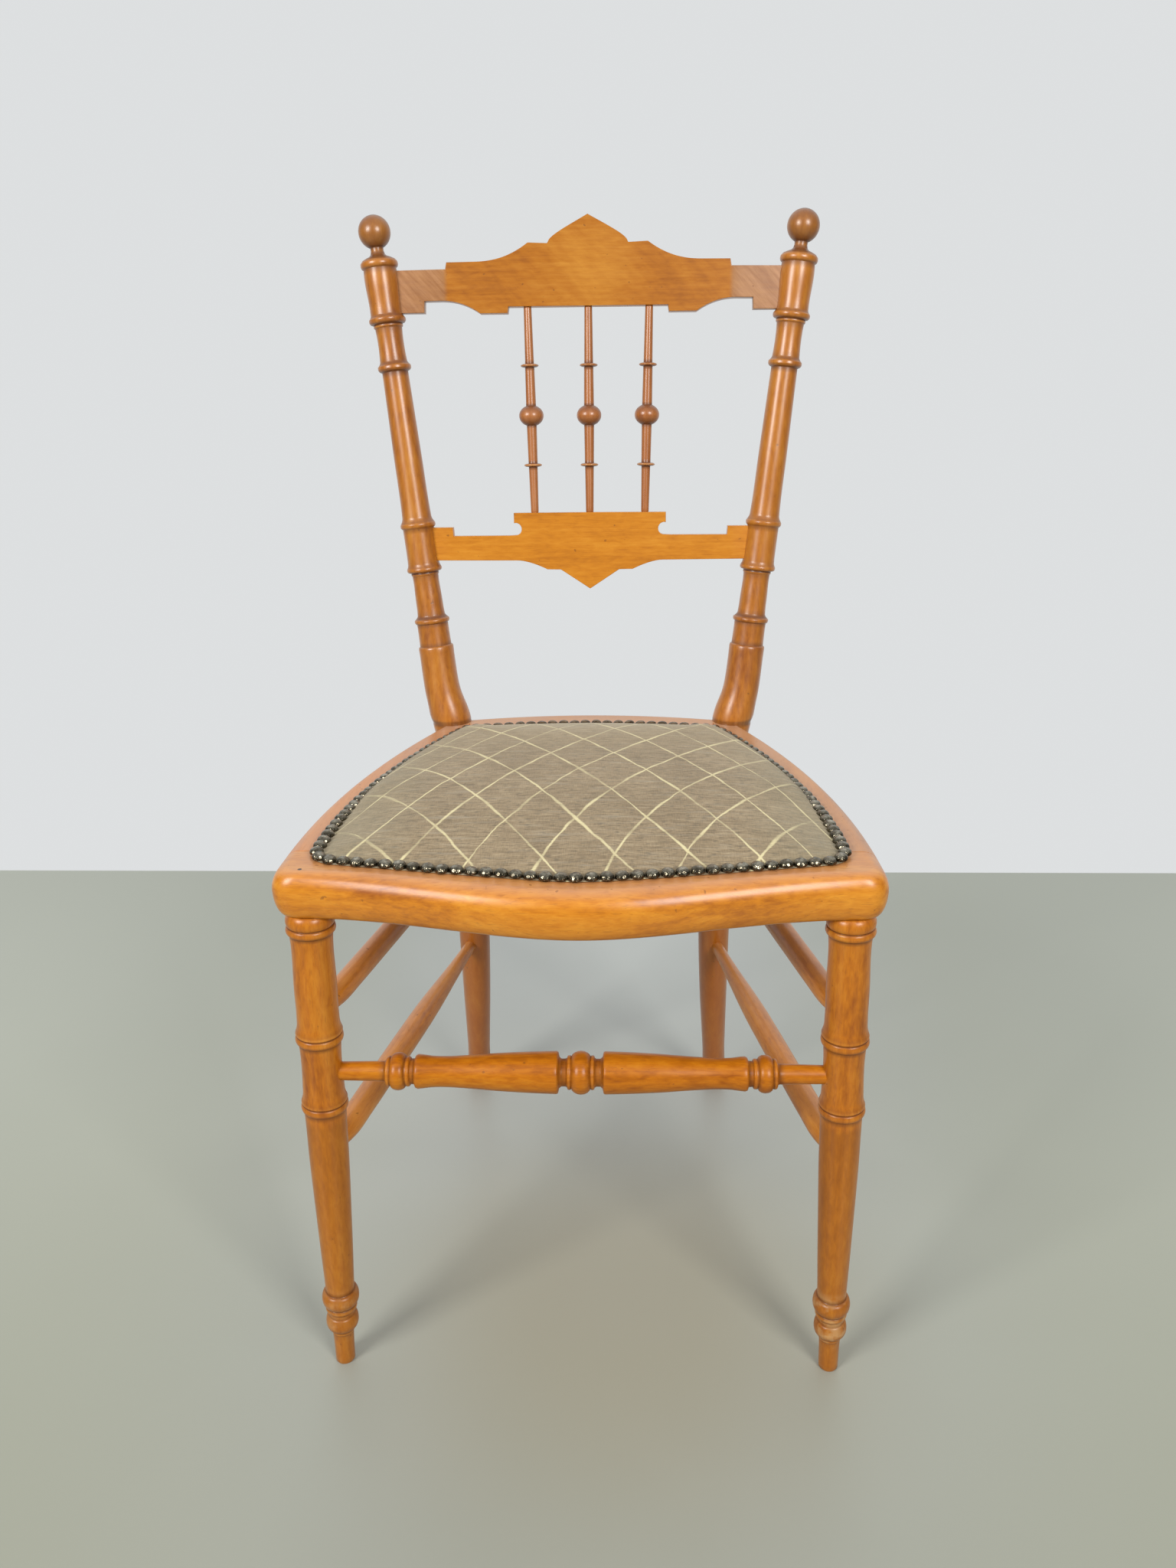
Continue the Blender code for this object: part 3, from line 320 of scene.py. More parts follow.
def cover_cloth():
    t = Tree("cover_cloth_woven")
    x, y, _ = t.parts()
    px, py = t.math("MULTIPLY", x, 10.0), t.math("MULTIPLY", y, 10.0)

    def line_number(powers):
        rows = []
        for row in powers:
            value = row[-1]
            for number in reversed(row[:-1]):
                value = t.math("MULTIPLY_ADD", value, px, number)
            rows.append(value)
        value = rows[-1]
        for row in reversed(rows[:-1]):
            value = t.math("MULTIPLY_ADD", value, py, row)
        return value

    # ground weave: thick weft slubs across the seat, thin warp
    weft = t.noise(t.place((0.11, 1.0, 0.0)), 900.0, 3.0, 0.65)
    slub = t.noise(t.place((0.17, 1.0, 0.0), (0.7, 0.3, 0.0)), 330.0, 3.0, 0.6, 0.6)
    warp = t.noise(t.place((1.0, 0.10, 0.0), (0.1, 0.9, 0.0)), 1300.0, 1.0, 0.5)
    cloud = t.noise(t.place((1.0, 1.0, 0.0), (0.4, 0.2, 0.0)), 16.0, 2.0, 0.5)
    tone = t.math("MULTIPLY_ADD", t.math("SUBTRACT", weft, 0.5), 0.85, 0.5)
    tone = t.math("MULTIPLY_ADD", t.math("SUBTRACT", slub, 0.5), 0.95, tone)
    tone = t.math("MULTIPLY_ADD", t.math("SUBTRACT", warp, 0.5), 0.40, tone)
    tone = t.math("MULTIPLY_ADD", t.math("SUBTRACT", cloud, 0.5), 0.35, tone)
    ground = t.ramp(tone, ((0.12, (0.136, 0.100, 0.060)), (0.50, (0.262, 0.196, 0.117)), (0.88, (0.400, 0.312, 0.198))))
    # short dark floats of the weft
    dash = t.span(t.noise(t.place((0.30, 1.0, 0.0), (0.5, 0.1, 0.0)), 560.0, 1.5, 0.5), 0.56, 0.68)
    ground = t.mix(t.math("MULTIPLY", dash, 0.58), ground, (0.105, 0.088, 0.062))
    # the light picks out some weft runs in grey, and the dye has faded towards olive at the sides
    grey = t.span(t.noise(t.place((0.12, 1.0, 0.0), (0.2, 0.6, 0.0)), 210.0, 2.0, 0.5), 0.55, 0.72)
    ground = t.mix(t.math("MULTIPLY", grey, 0.35), ground, (0.335, 0.300, 0.235))
    # painted sheen: the cloth is painted paler towards the back, where the light grazes it
    ground = t.mix(t.span(y, -0.03, 0.13, 0.0, 0.30, smooth=True), ground, (0.400, 0.330, 0.205))
    side = t.span(t.math("ABSOLUTE", x), 0.105, 0.185, smooth=True)
    ground = t.mix(t.math("MULTIPLY", side, 0.30), ground, (0.255, 0.245, 0.165))

    marks = None
    sway_node = t.nodes.new("ShaderNodeTexNoise")
    t.links.new(t.coords(), sway_node.inputs["Vector"])
    sway_node.inputs["Scale"].default_value = 38.0
    sway_node.inputs["Detail"].default_value = 2.0
    sway = t.parts(sway_node.outputs["Color"])
    for k, powers in enumerate(TRELLIS):
        number = line_number(powers)
        number = t.math("MULTIPLY_ADD", t.math("SUBTRACT", sway[k], 0.5), 0.085, number)
        ragged = t.noise(t.place((0.5, 1.0, 0.0), (0.3 * k, 0.0, 0.0)), 420.0, 2.0, 0.6)
        number = t.math("MULTIPLY_ADD", t.math("SUBTRACT", ragged, 0.5), 0.020, number)
        off = t.math("MULTIPLY", t.math("ABSOLUTE", t.math("SUBTRACT", t.math("FRACT", t.math("ADD", number, 0.5)), 0.5)), LINE_SPACING)
        swell = t.noise(t.place((1.0, 1.0, 0.0), (0.9 * k + 0.3, 0.4, 0.0)), 19.0, 2.0, 0.6)
        half = t.span(swell, 0.32, 0.70, 0.50, 1.50)
        mark = t.math("SUBTRACT", 1.0, t.math("DIVIDE", t.math("SUBTRACT", off, t.math("MULTIPLY", half, 0.55)), t.math("MULTIPLY", half, 0.75)), clamp=True)
        fade = t.span(t.noise(t.place((1.0, 1.0, 0.0), (0.1, 0.8 * k + 0.2, 0.0)), 23.0, 2.0, 0.6), 0.34, 0.56, 0.38, 1.0)
        mark = t.math("MULTIPLY", mark, fade)
        mark = t.math("MULTIPLY", mark, t.span(x, *((-0.168, -0.118) if k == 0 else (0.176, 0.140)), 0.12, 1.0))
        # a second, thinner stroke beside some of the lines
        other = t.math("MULTIPLY_ADD", t.math("SUBTRACT", sway[2 - k], 0.5), 0.10, number)
        off2 = t.math("MULTIPLY", t.math("ABSOLUTE", t.math("SUBTRACT", t.math("FRACT", t.math("ADD", other, 0.5)), 0.5)), LINE_SPACING)
        mark2 = t.math("MULTIPLY", t.span(off2, 0.55, 0.22), t.span(swell, 0.54, 0.66, 0.0, 0.70))
        mark = t.math("MAXIMUM", mark, mark2)
        marks = mark if marks is None else t.math("MAXIMUM", marks, mark)
    dry = t.span(weft, 0.30, 0.50, 0.62, 1.0)
    marks = t.math("MULTIPLY", t.math("MULTIPLY", marks, dry), t.span(y, 0.135, 0.105, 0.15, 1.0))
    colour = t.mix(marks, ground, t.mix(slub, (0.600, 0.520, 0.275), (0.740, 0.660, 0.405)))

    height = t.math("MULTIPLY_ADD", weft, 0.6, t.math("MULTIPLY_ADD", slub, 0.55, t.math("MULTIPLY", warp, 0.35)))
    height = t.math("MULTIPLY_ADD", marks, 0.35, height)
    return t.shade(
        Base_Color=colour, Roughness=0.92, Normal=t.bump(height, 0.6, 0.0007), Specular_IOR_Level=0.25,
        Sheen_Weight=0.24, Sheen_Roughness=0.45, Sheen_Tint=(0.90, 0.86, 0.74),
    )


def woven(name, pitch, dark, mid, light, along="Y", stripes=False):
    """Plain weave of coarse bast yarn, open enough to see each thread."""
    t = Tree(name)
    x, y, _ = t.parts()
    wobble = t.noise(t.coords(), 90.0, 2.0, 0.5)
    u = t.math("MULTIPLY_ADD", t.math("SUBTRACT", wobble, 0.5), 0.9, t.math("DIVIDE", x, pitch))
    v = t.math("MULTIPLY_ADD", t.math("SUBTRACT", wobble, 0.5), 0.9, t.math("DIVIDE", y, pitch))
    su, sv = t.math("SINE", t.math("MULTIPLY", u, math.pi)), t.math("SINE", t.math("MULTIPLY", v, math.pi))
    over = t.math("MULTIPLY", su, sv)                         # sign says which thread lies on top
    body = t.math("MAXIMUM", t.math("ABSOLUTE", su), t.math("ABSOLUTE", sv))
    cross = t.math("MULTIPLY", t.math("ABSOLUTE", su), t.math("ABSOLUTE", sv))
    yarn = t.noise(t.place((1.0, 0.12, 1.0) if along == "Y" else (0.12, 1.0, 1.0)), 620.0, 3.0, 0.6)
    tone = t.math("MULTIPLY_ADD", cross, 0.50, t.math("MULTIPLY", yarn, 0.55))
    tone = t.math("MULTIPLY_ADD", over, 0.10, tone)
    colour = t.ramp(tone, ((0.10, dark), (0.48, mid), (0.90, light)))
    if stripes:
        across = x if along == "Y" else y
        band = t.math("ABSOLUTE", t.math("SUBTRACT", t.math("FRACT", t.math("DIVIDE", across, 0.0125)), 0.5))
        colour = t.mix(t.span(band, 0.46, 0.49, 0.0, 0.65), colour, (0.075, 0.045, 0.025))
    hair = t.span(t.noise(t.coords(), 1400.0, 1.0, 0.5), 0.62, 0.72)
    colour = t.mix(t.math("MULTIPLY", hair, 0.4), colour, light)
    height = t.math("MULTIPLY_ADD", cross, 0.7, t.math("MULTIPLY_ADD", body, 0.4, t.math("MULTIPLY", yarn, 0.3)))
    return t.shade(
        Base_Color=colour, Roughness=0.95, Normal=t.bump(height, 0.7, pitch * 0.35),
        Specular_IOR_Level=0.15, Sheen_Weight=0.12, Sheen_Roughness=0.5,
    )


def nail_metal(name, tint=(1.0, 1.0, 1.0)):
    """Dark hammered metal, rubbed bright on the domes, with painted shade at the foot of each dome."""
    t = Tree(name)
    hammer = t.nodes.new("ShaderNodeTexVoronoi")
    hammer.feature = "SMOOTH_F1"
    t.links.new(t.coords(), hammer.inputs["Vector"])
    hammer.inputs["Scale"].default_value = 620.0
    hammer.inputs["Smoothness"].default_value = 0.25
    dents = hammer.outputs["Distance"]
    tarnish = t.noise(t.place((1, 1, 1), (0.3, 0.1, 0.2)), 190.0, 3.0, 0.6)
    high = t.attribute("ridge")
    colour = t.ramp(tarnish, ((0.30, (0.056, 0.046, 0.029)), (0.55, (0.140, 0.123, 0.087)), (0.80, (0.280, 0.250, 0.185))))
    colour = t.mix(t.math("MULTIPLY", high, t.span(tarnish, 0.40, 0.62, 0.15, 0.65)), colour, (0.54, 0.51, 0.42))
    # painted shade: the foot of each dome, where it meets the cloth, is painted near black
    colour = t.mix(t.math("MULTIPLY", t.attribute("groove"), 0.90), colour, (0.012, 0.008, 0.004))
    colour = t.mix(1.0, colour, tint, "MULTIPLY")
    rough = t.math("MULTIPLY_ADD", tarnish, 0.22, 0.10)
    return t.shade(Base_Color=colour, Metallic=0.95, Roughness=rough, Normal=t.bump(dents, 0.50, 0.0008))


def floor_paint():
    t = Tree("stage_floor")
    cloud = t.noise(t.coords(), 2.2, 4.0, 0.55)
    grit = t.noise(t.coords(), 260.0, 2.0, 0.5)
    tone = t.math("MULTIPLY_ADD", grit, 0.10, t.math("MULTIPLY", cloud, 0.90))
    colour = t.ramp(tone, ((0.30, (0.409, 0.432, 0.412)), (0.70, (0.455, 0.477, 0.460))))
    colour = t.mix(t.span(t.math("ABSOLUTE", t.parts()[0]), 0.12, 0.50, 0.0, 0.55, smooth=True), colour, (0.375, 0.392, 0.300))
    # painted shade: the floor is painted darker towards the front
    colour = t.mix(t.span(t.parts()[1], 0.62, -0.70, 0.0, 0.74, smooth=True), colour, (0.215, 0.219, 0.160))
    # painted shadow: a darker, warmer patch on the floor under the front of the chair
    painted_shadow_under_chair = t.span(t.vector("DISTANCE", t.coords(), (0.03, -0.12, 0.0)), 0.30, 0.06, 0.0, 0.45, smooth=True)
    colour = t.mix(painted_shadow_under_chair, colour, (0.283, 0.242, 0.141))
    return t.shade(Base_Color=colour, Roughness=t.span(cloud, 0.3, 0.7, 0.34, 0.48), Specular_IOR_Level=0.40, Normal=t.bump(grit, 0.05, 0.0006))


# ------------------------------------------------------------------- pieces
def piece(name, mesh, mat, nodes, matrix=None, sharp=30.0, weigh=False):
    """A finished mesh as an object that stands for CAD nodes and moves with the chair."""
    made = bpy.data.objects.new(name, mesh)
    bpy.context.scene.collection.objects.link(made)
    made.matrix_world = PLACE @ matrix if matrix is not None else PLACE
    mesh.materials.clear()
    mesh.materials.append(mat)
    mesh.shade_smooth()
    if sharp:
        mesh.set_sharp_from_angle(angle=math.radians(sharp))
    if weigh:
        mod = made.modifiers.new("even_normals", "WEIGHTED_NORMAL")
        mod.keep_sharp = True
        mod.weight = 100
    bpy.context.view_layer.update()
    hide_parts(*([nodes] if isinstance(nodes, str) else nodes))
    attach(made, "root")
    return made


def mesh_from(bm, name):
    mesh = bpy.data.meshes.new(name)
    bm.to_mesh(mesh)
    bm.free()
    return mesh


def bead(z0, z1, widest, base0, base1):
    points = []
    for k in range(ARC + 2):
        a = math.pi * k / (ARC + 1)
        base = base0 + (base1 - base0) * k / (ARC + 1)
        points.append(((z0 + z1) / 2 - (z1 - z0) / 2 * math.cos(a), base + (widest - base) * math.sin(a)))
    return points


def flare(z0, d0, z1, d1):
    return [
        (z0 + (z1 - z0) * k / ARC, d1 + (d0 - d1) * (1 - math.sin(math.pi / 2 * k / ARC)))
        for k in range(ARC + 1)
    ]


def ball(z0, z1, widest, neck):
    mid, half = (z0 + z1) / 2, (z1 - z0) / 2
    first = math.asin(neck / widest)
    count = 2 * ARC + 4
    points = []
    for k in range(count):
        a = first + (math.pi - first) * k / count
        points.append((mid - half * math.cos(a), widest * math.sin(a)))
    return points + [(z1, 0.0)]


def orb(mid, half, widest, neck):
    first = math.asin(neck / widest)
    count = 2 * ARC + 2
    return [
        (mid - half * math.cos(a), widest * math.sin(a))
        for a in (first + (math.pi - 2 * first) * k / count for k in range(count + 1))
    ]


def front_leg_profile():
    return (
        [(0.0, 14.2), (1.2, 15.6), (29.0, 17.0)]
        + bead(30.8, 33.8, 18.9, 17.2, 17.8)
        + bead(34.6, 48.8, 26.4, 18.2, 21.4)
        + [(51.5, 21.3)]
        + bead(53.6, 58.4, 25.6, 21.8, 24.0)
        + bead(59.2, 72.6, 29.9, 24.0, 23.0)
        + [(81.0, 23.4), (106.0, 25.1), (152.0, 27.8), (200.0, 30.4), (243.0, 31.6)]
        + bead(247.4, 253.4, 35.6, 31.9, 33.2)
        + [(253.8, 33.2), (255.2, 35.0), (257.2, 33.5), (260.6, 31.8), (266.5, 31.2), (303.0, 31.2)]
        + bead(306.8, 313.0, 35.8, 31.8, 33.4)
        + [(313.4, 33.4), (314.8, 35.3), (316.9, 33.8), (320.6, 31.9), (326.5, 31.3), (352.0, 31.4), (394.0, 31.2)]
        + bead(397.4, 403.4, 36.2, 31.8, 33.2)
        + [(403.8, 33.2), (404.8, 34.8), (407.0, 35.6), (409.4, 35.3), (411.8, 33.8), (414.1, 31.2)]
        + [(414.2, LEG_TENON_D), (LEG_TENON_Z - 1.0, LEG_TENON_D), (LEG_TENON_Z, LEG_TENON_D - 1.5)]
    )


def post_profile():
    return (
        [(0.0, 20.8), (5.0, 22.4), (60.0, 24.4), (137.0, 28.5), (206.0, 31.2), (300.0, 33.4),
         (345.0, 34.2), (390.0, 34.8), (420.0, 35.6), (436.0, 38.0), (447.5, 38.4), (449.6, 37.4), (450.6, 37.4),
         (451.8, 38.0), (454.2, 38.4), (458.5, 38.0), (464.0, 36.8), (472.0, 35.0), (486.0, 33.8), (501.0, 33.4), (518.0, 33.4), (521.2, 33.6), (523.2, 32.8), (523.8, 30.2), (541.0, 29.7), (545.2, 29.8),
         (545.7, 32.2), (547.2, 33.5)]
        + flare(548.8, 33.4, 553.6, 26.2)
        + [(570.0, 25.2), (589.2, 24.6)]
        + bead(590.6, 593.2, 26.2, 24.8, 25.8)
        + [(593.9, 31.0), (595.2, 33.0)]
        + flare(596.9, 33.0, 602.0, 29.7)
        + [(633.8, 29.2), (634.6, 31.6), (636.0, 33.0)]
        + flare(637.9, 33.0, 644.6, 27.4)
        + [(700.0, 25.8), (773.2, 23.7), (774.4, 28.4), (776.0, 30.3)]
        + flare(778.2, 30.3, 782.8, 24.6)
        + [(809.8, 24.3)]
        + bead(811.0, 813.8, 26.6, 24.5, 25.6)
        + [(814.8, 31.4), (816.4, 33.2)]
        + flare(818.4, 33.2, 822.4, 28.8)
        + [(859.8, 29.4), (860.6, 29.2), (861.4, 32.2), (863.2, 33.6), (865.6, 33.2), (867.8, 29.4),
           (869.6, 22.4), (870.8, 16.4), (872.4, 13.0), (875.4, 11.5)]
        + ball(876.8, 905.2, 28.6, 11.6)
    )


def spindle_profile(length):
    low, high = SPINDLE_INTO / MM, length - SPINDLE_INTO / MM
    mid = length / 2 - 1.3
    under, over = mid - 46.0, mid + 41.6
    out = [(0.0, 5.9), (0.8, 6.5), (low + 0.1, 6.5), (low + 0.5, 7.2)]
    out += [(under - 1.9, 8.2)] + bead(under - 1.5, under + 1.5, 16.6, 8.6, 8.8)
    out += [(under + 1.9, 8.5)] + orb(mid - 2.1, 9.4, 22.6, 9.2)
    out += [(over - 1.9, 8.5)]
    out += bead(over - 1.5, over + 1.5, 16.4, 8.8, 8.6) + [(over + 1.9, 8.1), (high - 0.5, 7.1)]
    return out + [(high - 0.1, 6.5), (length - 0.8, 6.5), (length, 5.9)]


def half_front_stretcher():
    return (
        [(0.0, 32.4), (2.6, 31.8), (5.0, 29.6), (6.6, 26.6)]
        + bead(7.2, 10.4, 25.6, 24.4, 22.0)
        + [(11.6, 20.6), (14.8, 20.6), (16.4, 23.4), (17.2, 30.6), (18.4, 31.8), (24.0, 31.5),
           (60.0, 28.4), (86.0, 24.6), (104.0, 22.9), (113.0, 23.4), (120.0, 25.2), (123.2, 25.9),
           (125.0, 24.6), (126.0, 19.4), (128.6, 19.0)]
        + bead(129.2, 132.8, 22.6, 19.6, 22.0)
        + bead(133.2, 143.6, 28.2, 22.6, 22.6)
        + bead(144.0, 147.6, 22.6, 22.0, 17.0)
        + [(149.0, 15.2), (166.0, 14.6)]
    )


def side_stick_profile(length, widest, into):
    end = STICK_END_D
    out = [(0.0, end - 1.0), (0.8, end), (into, end)]
    shape = ((0.0, 0.30), (0.05, 0.84), (0.14, 0.97), (0.30, 1.0), (0.48, 1.0), (0.60, 0.93), (0.70, 0.70), (0.80, 0.38), (0.90, 0.12))
    out += [(into + 1.0 + (length - 2 * into - 1.0) * t, end + (widest - end) * share) for t, share in shape]
    return out + [(length - into, end), (length - 0.8, end), (length, end - 1.0)]


def rear_stick_profile(length, widest, into):
    end = STICK_END_D
    out = [(0.0, end - 1.0), (0.8, end), (into, end)]
    for k in range(1, 16):
        out.append((into + (length - 2 * into) * k / 16, end + (widest - end) * math.sin(math.pi * k / 16) ** 0.85))
    return out + [(length - into, end), (length - 0.8, end), (length, end - 1.0)]


def smoothed(profile, step):
    """The profile with its sharp corners broken and its long runs made into smooth curves of short steps."""
    def turn(a, b, c):
        first, second = Vector((b[0] - a[0], (b[1] - a[1]) / 2)), Vector((c[0] - b[0], (c[1] - b[1]) / 2))
        return first.angle(second) if first.length > 1e-7 and second.length > 1e-7 else 0.0

    corners = [0.0] + [turn(a, b, c) for a, b, c in zip(profile, profile[1:], profile[2:])] + [0.0]
    slopes = [(b[1] - a[1]) / max(1e-6, b[0] - a[0]) for a, b in zip(profile, profile[1:])]
    run = [profile[0]]
    for k in range(len(profile) - 1):
        (z0, d0), (z1, d1) = profile[k], profile[k + 1]
        h = z1 - z0
        count = max(1, math.ceil(h / step))

        def tangent(j):
            if j in (0, len(profile) - 1) or corners[j] > 0.22:
                return slopes[k]
            left, right = profile[j][0] - profile[j - 1][0], profile[j + 1][0] - profile[j][0]
            return (slopes[j - 1] * right + slopes[j] * left) / (left + right)

        m0, m1 = tangent(k), tangent(k + 1)
        for j in range(1, count + 1):
            t = j / count
            value = (
                (2 * t**3 - 3 * t**2 + 1) * d0 + (t**3 - 2 * t**2 + t) * h * m0
                + (3 * t**2 - 2 * t**3) * d1 + (t**3 - t**2) * h * m1
            ) if count > 1 else d1
            run.append((z0 + h * t, value))
    out = [run[0]]
    for a, b, c in zip(run, run[1:], run[2:]):
        before, after = math.hypot(b[0] - a[0], (b[1] - a[1]) / 2), math.hypot(c[0] - b[0], (c[1] - b[1]) / 2)
        if turn(a, b, c) > 0.55 and before > 0.05 and after > 0.05:
            for other, long in ((a, before), (c, after)):
                share = min(0.30, 0.28 * long) / long
                out.append((b[0] + (other[0] - b[0]) * share, b[1] + (other[1] - b[1]) * share))
        else:
            out.append(b)
    return out + [run[-1]]


def relief(profile, reach=2.0):
    """How far each point of a profile lies in a groove, and on a ridge, from 0 to 1."""
    grooves, ridges = [], []
    for z, d in profile:
        near = [[e for y, e in profile if low < y - z <= high] or [d] for low, high in ((-reach, 0.0), (-1e-9, reach))]
        rise = [max(max(side) - d, 0.0) / 2 for side in near]
        fall = [max(d - min(side), 0.0) / 2 for side in near]
        grooves.append(min(1.0, (0.65 * max(rise) + 0.9 * min(rise)) / 1.3))
        ridges.append(min(1.0, min(fall) / 1.5))
    return grooves, ridges


def turned(name, profile, sides, frame_at, step=5.0, flat_foot=False):
    """A turned mesh. frame_at gives the axis point at a height and two directions across it."""
    profile = smoothed(profile, step)
    grooves, ridges = relief(profile)
    bm = bmesh.new()
    groove_layer, ridge_layer = bm.verts.layers.float.new("groove"), bm.verts.layers.float.new("ridge")
    rings = []
    for (z, d), groove, ridge in zip(profile, grooves, ridges):
        centre, across, other, along = frame_at(z * MM)
        row = []
        count = 1 if d < 1e-6 else sides
        for k in range(count):
            a = math.tau * k / sides
            p = centre + (across * math.cos(a) + other * math.sin(a)) * (d / 2 * MM)
            if flat_foot and z < 1e-6:
                p = p - along * (p.z / along.z)
            v = bm.verts.new(p)
            v[groove_layer], v[ridge_layer] = groove, ridge
            row.append(v)
        rings.append(row)
    for a, b in zip(rings, rings[1:]):
        for k in range(sides):
            j = (k + 1) % sides
            if len(b) == 1:
                bm.faces.new((a[k], a[j], b[0]))
            else:
                bm.faces.new((a[k], a[j], b[j], b[k]))
    for row, flip in ((rings[0], True), (rings[-1], False)):
        if len(row) > 1:
            middle = bm.verts.new(sum((v.co for v in row), Vector()) / len(row))
            for k in range(sides):
                j = (k + 1) % sides
                bm.faces.new((row[j], row[k], middle) if flip else (row[k], row[j], middle))
    return mesh_from(bm, name)


def straight(z):
    return Vector((0, 0, z)), Vector((1, 0, 0)), Vector((0, 1, 0)), Vector((0, 0, 1))


def across_axis(axis):
    def at(z):
        centre, along = axis(z)
        side = Vector((1.0, 0.0, 0.0))
        side = (side - along * side.dot(along)).normalized()
        return centre, side, along.cross(side), along

    return at


def post_axis(side):
    def at(z):
        for (z0, x0, y0, sx0, sy0), (z1, x1, y1, sx1, sy1) in zip(POST_AXIS, POST_AXIS[1:]):
            if z <= z1 or z1 == POST_AXIS[-1][0]:
                break
        h = z1 - z0
        t = (z - z0) / h
        a, b, c, d = 2 * t**3 - 3 * t**2 + 1, t**3 - 2 * t**2 + t, 3 * t**2 - 2 * t**3, t**3 - t**2
        da, db, dc, dd = (6 * t**2 - 6 * t) / h, (3 * t**2 - 4 * t + 1) / h, (6 * t - 6 * t**2) / h, (3 * t**2 - 2 * t) / h
        x = a * x0 + b * h * sx0 + c * x1 + d * h * sx1
        y = a * y0 + b * h * sy0 + c * y1 + d * h * sy1
        sx = da * x0 + db * h * sx0 + dc * x1 + dd * h * sx1
        sy = da * y0 + db * h * sy0 + dc * y1 + dd * h * sy1
        level = 1.0 - math.exp(-(((z - SEAT_TOP) / 0.012) ** 2))     # the heel lies level on the seat
        return Vector((side * x, y, z)), Vector((side * sx * level, sy * level, 1.0)).normalized()

    return at


def leg_axis(side):
    foot, top = Vector(FRONT_FOOT), Vector(FRONT_TOP)
    foot.x, top.x = side * foot.x, side * top.x
    slope = (top - foot) / (top.z - foot.z)

    def at(z):
        return foot + slope * z, slope.normalized()

    return at


def aim(start, end):
    start, end = Vector(start), Vector(end)
    return Matrix.Translation(start) @ (end - start).to_track_quat("Z", "Y").to_matrix().to_4x4()


# ---------------------------------------------------------- legs and posts
# the lower front legs are painted darker towards the floor
LEG_BANDS = ((-0.010, 0.235, (0.300, 0.098, 0.006), 0.55),)
# posts: the finial balls painted darker, a painted reflection of the dim room; the posts below the seat painted darker,
# painted shade under the seat; and a thin dark joint line where the heel meets the seat
POST_BANDS = ((0.876, 0.920, (0.190, 0.078, 0.020), 0.55), (-0.010, 0.435, (0.360, 0.093, 0.002), 0.85), (0.4495, 0.4525, (0.105, 0.036, 0.008), 0.75))
for side in (LEFT, RIGHT):
    name = NAMES[side]
    mesh = turned("leg_" + name, front_leg_profile(), 64, across_axis(leg_axis(side)), flat_foot=True)
    worn = (0.034, 0.072, 0.60) if side == RIGHT else (0.034, 0.070, 0.25)
    piece("leg_front_" + name, mesh, wood("fruitwood_leg_" + name, "Z", 11 + side, (0.85, 0.76, 0.62), worn=worn, fleck=0.30, mottle=0.70, bands=LEG_BANDS), "front_leg_" + name)
    mesh = turned("post_" + name, post_profile(), 64, across_axis(post_axis(side)), flat_foot=True)
    piece("post_back_" + name, mesh, wood("fruitwood_post_" + name, "Z", 21 + side, (0.84, 0.80, 1.00), mottle=0.55, gloss=(0.50, 0.60, 0.28), bands=POST_BANDS), "back_post_" + name)


# -------------------------------------------------------------- stretchers
def stick(name, body, start, start_r, end, end_r, seed, sides=40, tint=(1.0, 0.98, 1.2), dust_and_sheen=0.28, gloss=(0.28, 0.32, 0.25), groove_grime_and_shade=0.80, fleck=0.16, mottle=0.55):
    start, end = Vector(start), Vector(end)
    along = (end - start).normalized()
    first = start + along * (start_r - TENON_DEEP)
    last = end - along * (end_r - TENON_DEEP)
    mesh = turned(name, body((last - first).length / MM), sides, straight)
    node = name.replace("stick_", "") + "_stretcher"
    return piece(name, mesh, wood("fruitwood_" + name, "Z", seed, tint, mottle=mottle, fleck=fleck, dust_and_sheen=dust_and_sheen, gloss=gloss, groove_grime_and_shade=groove_grime_and_shade), node, aim(first, last))


def front_stick(length):
    half = half_front_stretcher()
    mid = length / 2
    ends = [(0.0, 13.0), (0.8, 14.2), (TENON_DEEP / MM + 3.0, 14.2)]
    left = [(mid - z, d) for z, d in reversed(half[1:])]
    right = [(mid + z, d) for z, d in half]
    return ends + left + right + [(length - z, d) for z, d in reversed(ends)]


for side in (LEFT, RIGHT):
    name = NAMES[side]
    for level, widest, front_z, rear_z in (("upper", UPPER_STICK_D, UPPER_FRONT_Z, UPPER_REAR_Z), ("lower", LOWER_STICK_D, LOWER_FRONT_Z, LOWER_REAR_Z)):
        stick(
            "stick_" + name + "_" + level, lambda length, widest=widest: side_stick_profile(length, widest, TENON_DEEP / MM + 1.5),
            leg_axis(side)(front_z)[0], 0.0153, post_axis(side)(rear_z)[0], 0.0158, 40 + 2 * side + (level == "upper"),
        )
stick("stick_front", front_stick, leg_axis(LEFT)(FRONT_STRETCHER_Z)[0], 0.0155, leg_axis(RIGHT)(FRONT_STRETCHER_Z)[0], 0.0155, 51, 64, (0.85, 0.74, 0.40), dust_and_sheen=0.0, gloss=(0.20, 0.22, 0.28), groove_grime_and_shade=0.45, fleck=0.28, mottle=0.72)
stick(
    "stick_rear", lambda length: rear_stick_profile(length, REAR_STICK_D, TENON_DEEP / MM + 2.0),
    post_axis(LEFT)(REAR_STRETCHER_Z)[0], 0.0161, post_axis(RIGHT)(REAR_STRETCHER_Z)[0], 0.0161, 53,
)


# --------------------------------------------------------------- seat frame
def side_x(y):
    return SIDE_WIDEST - SIDE_CURVE * max(0.0, y - SIDE_FROM) ** 2


def front_y(x):
    t = min(1.0, abs(x) / FRONT_REF)
    return FRONT_APEX + FRONT_BOW * (1.0 - (1.0 - 2.285 * t * t / (t + 1.285)) ** 2)


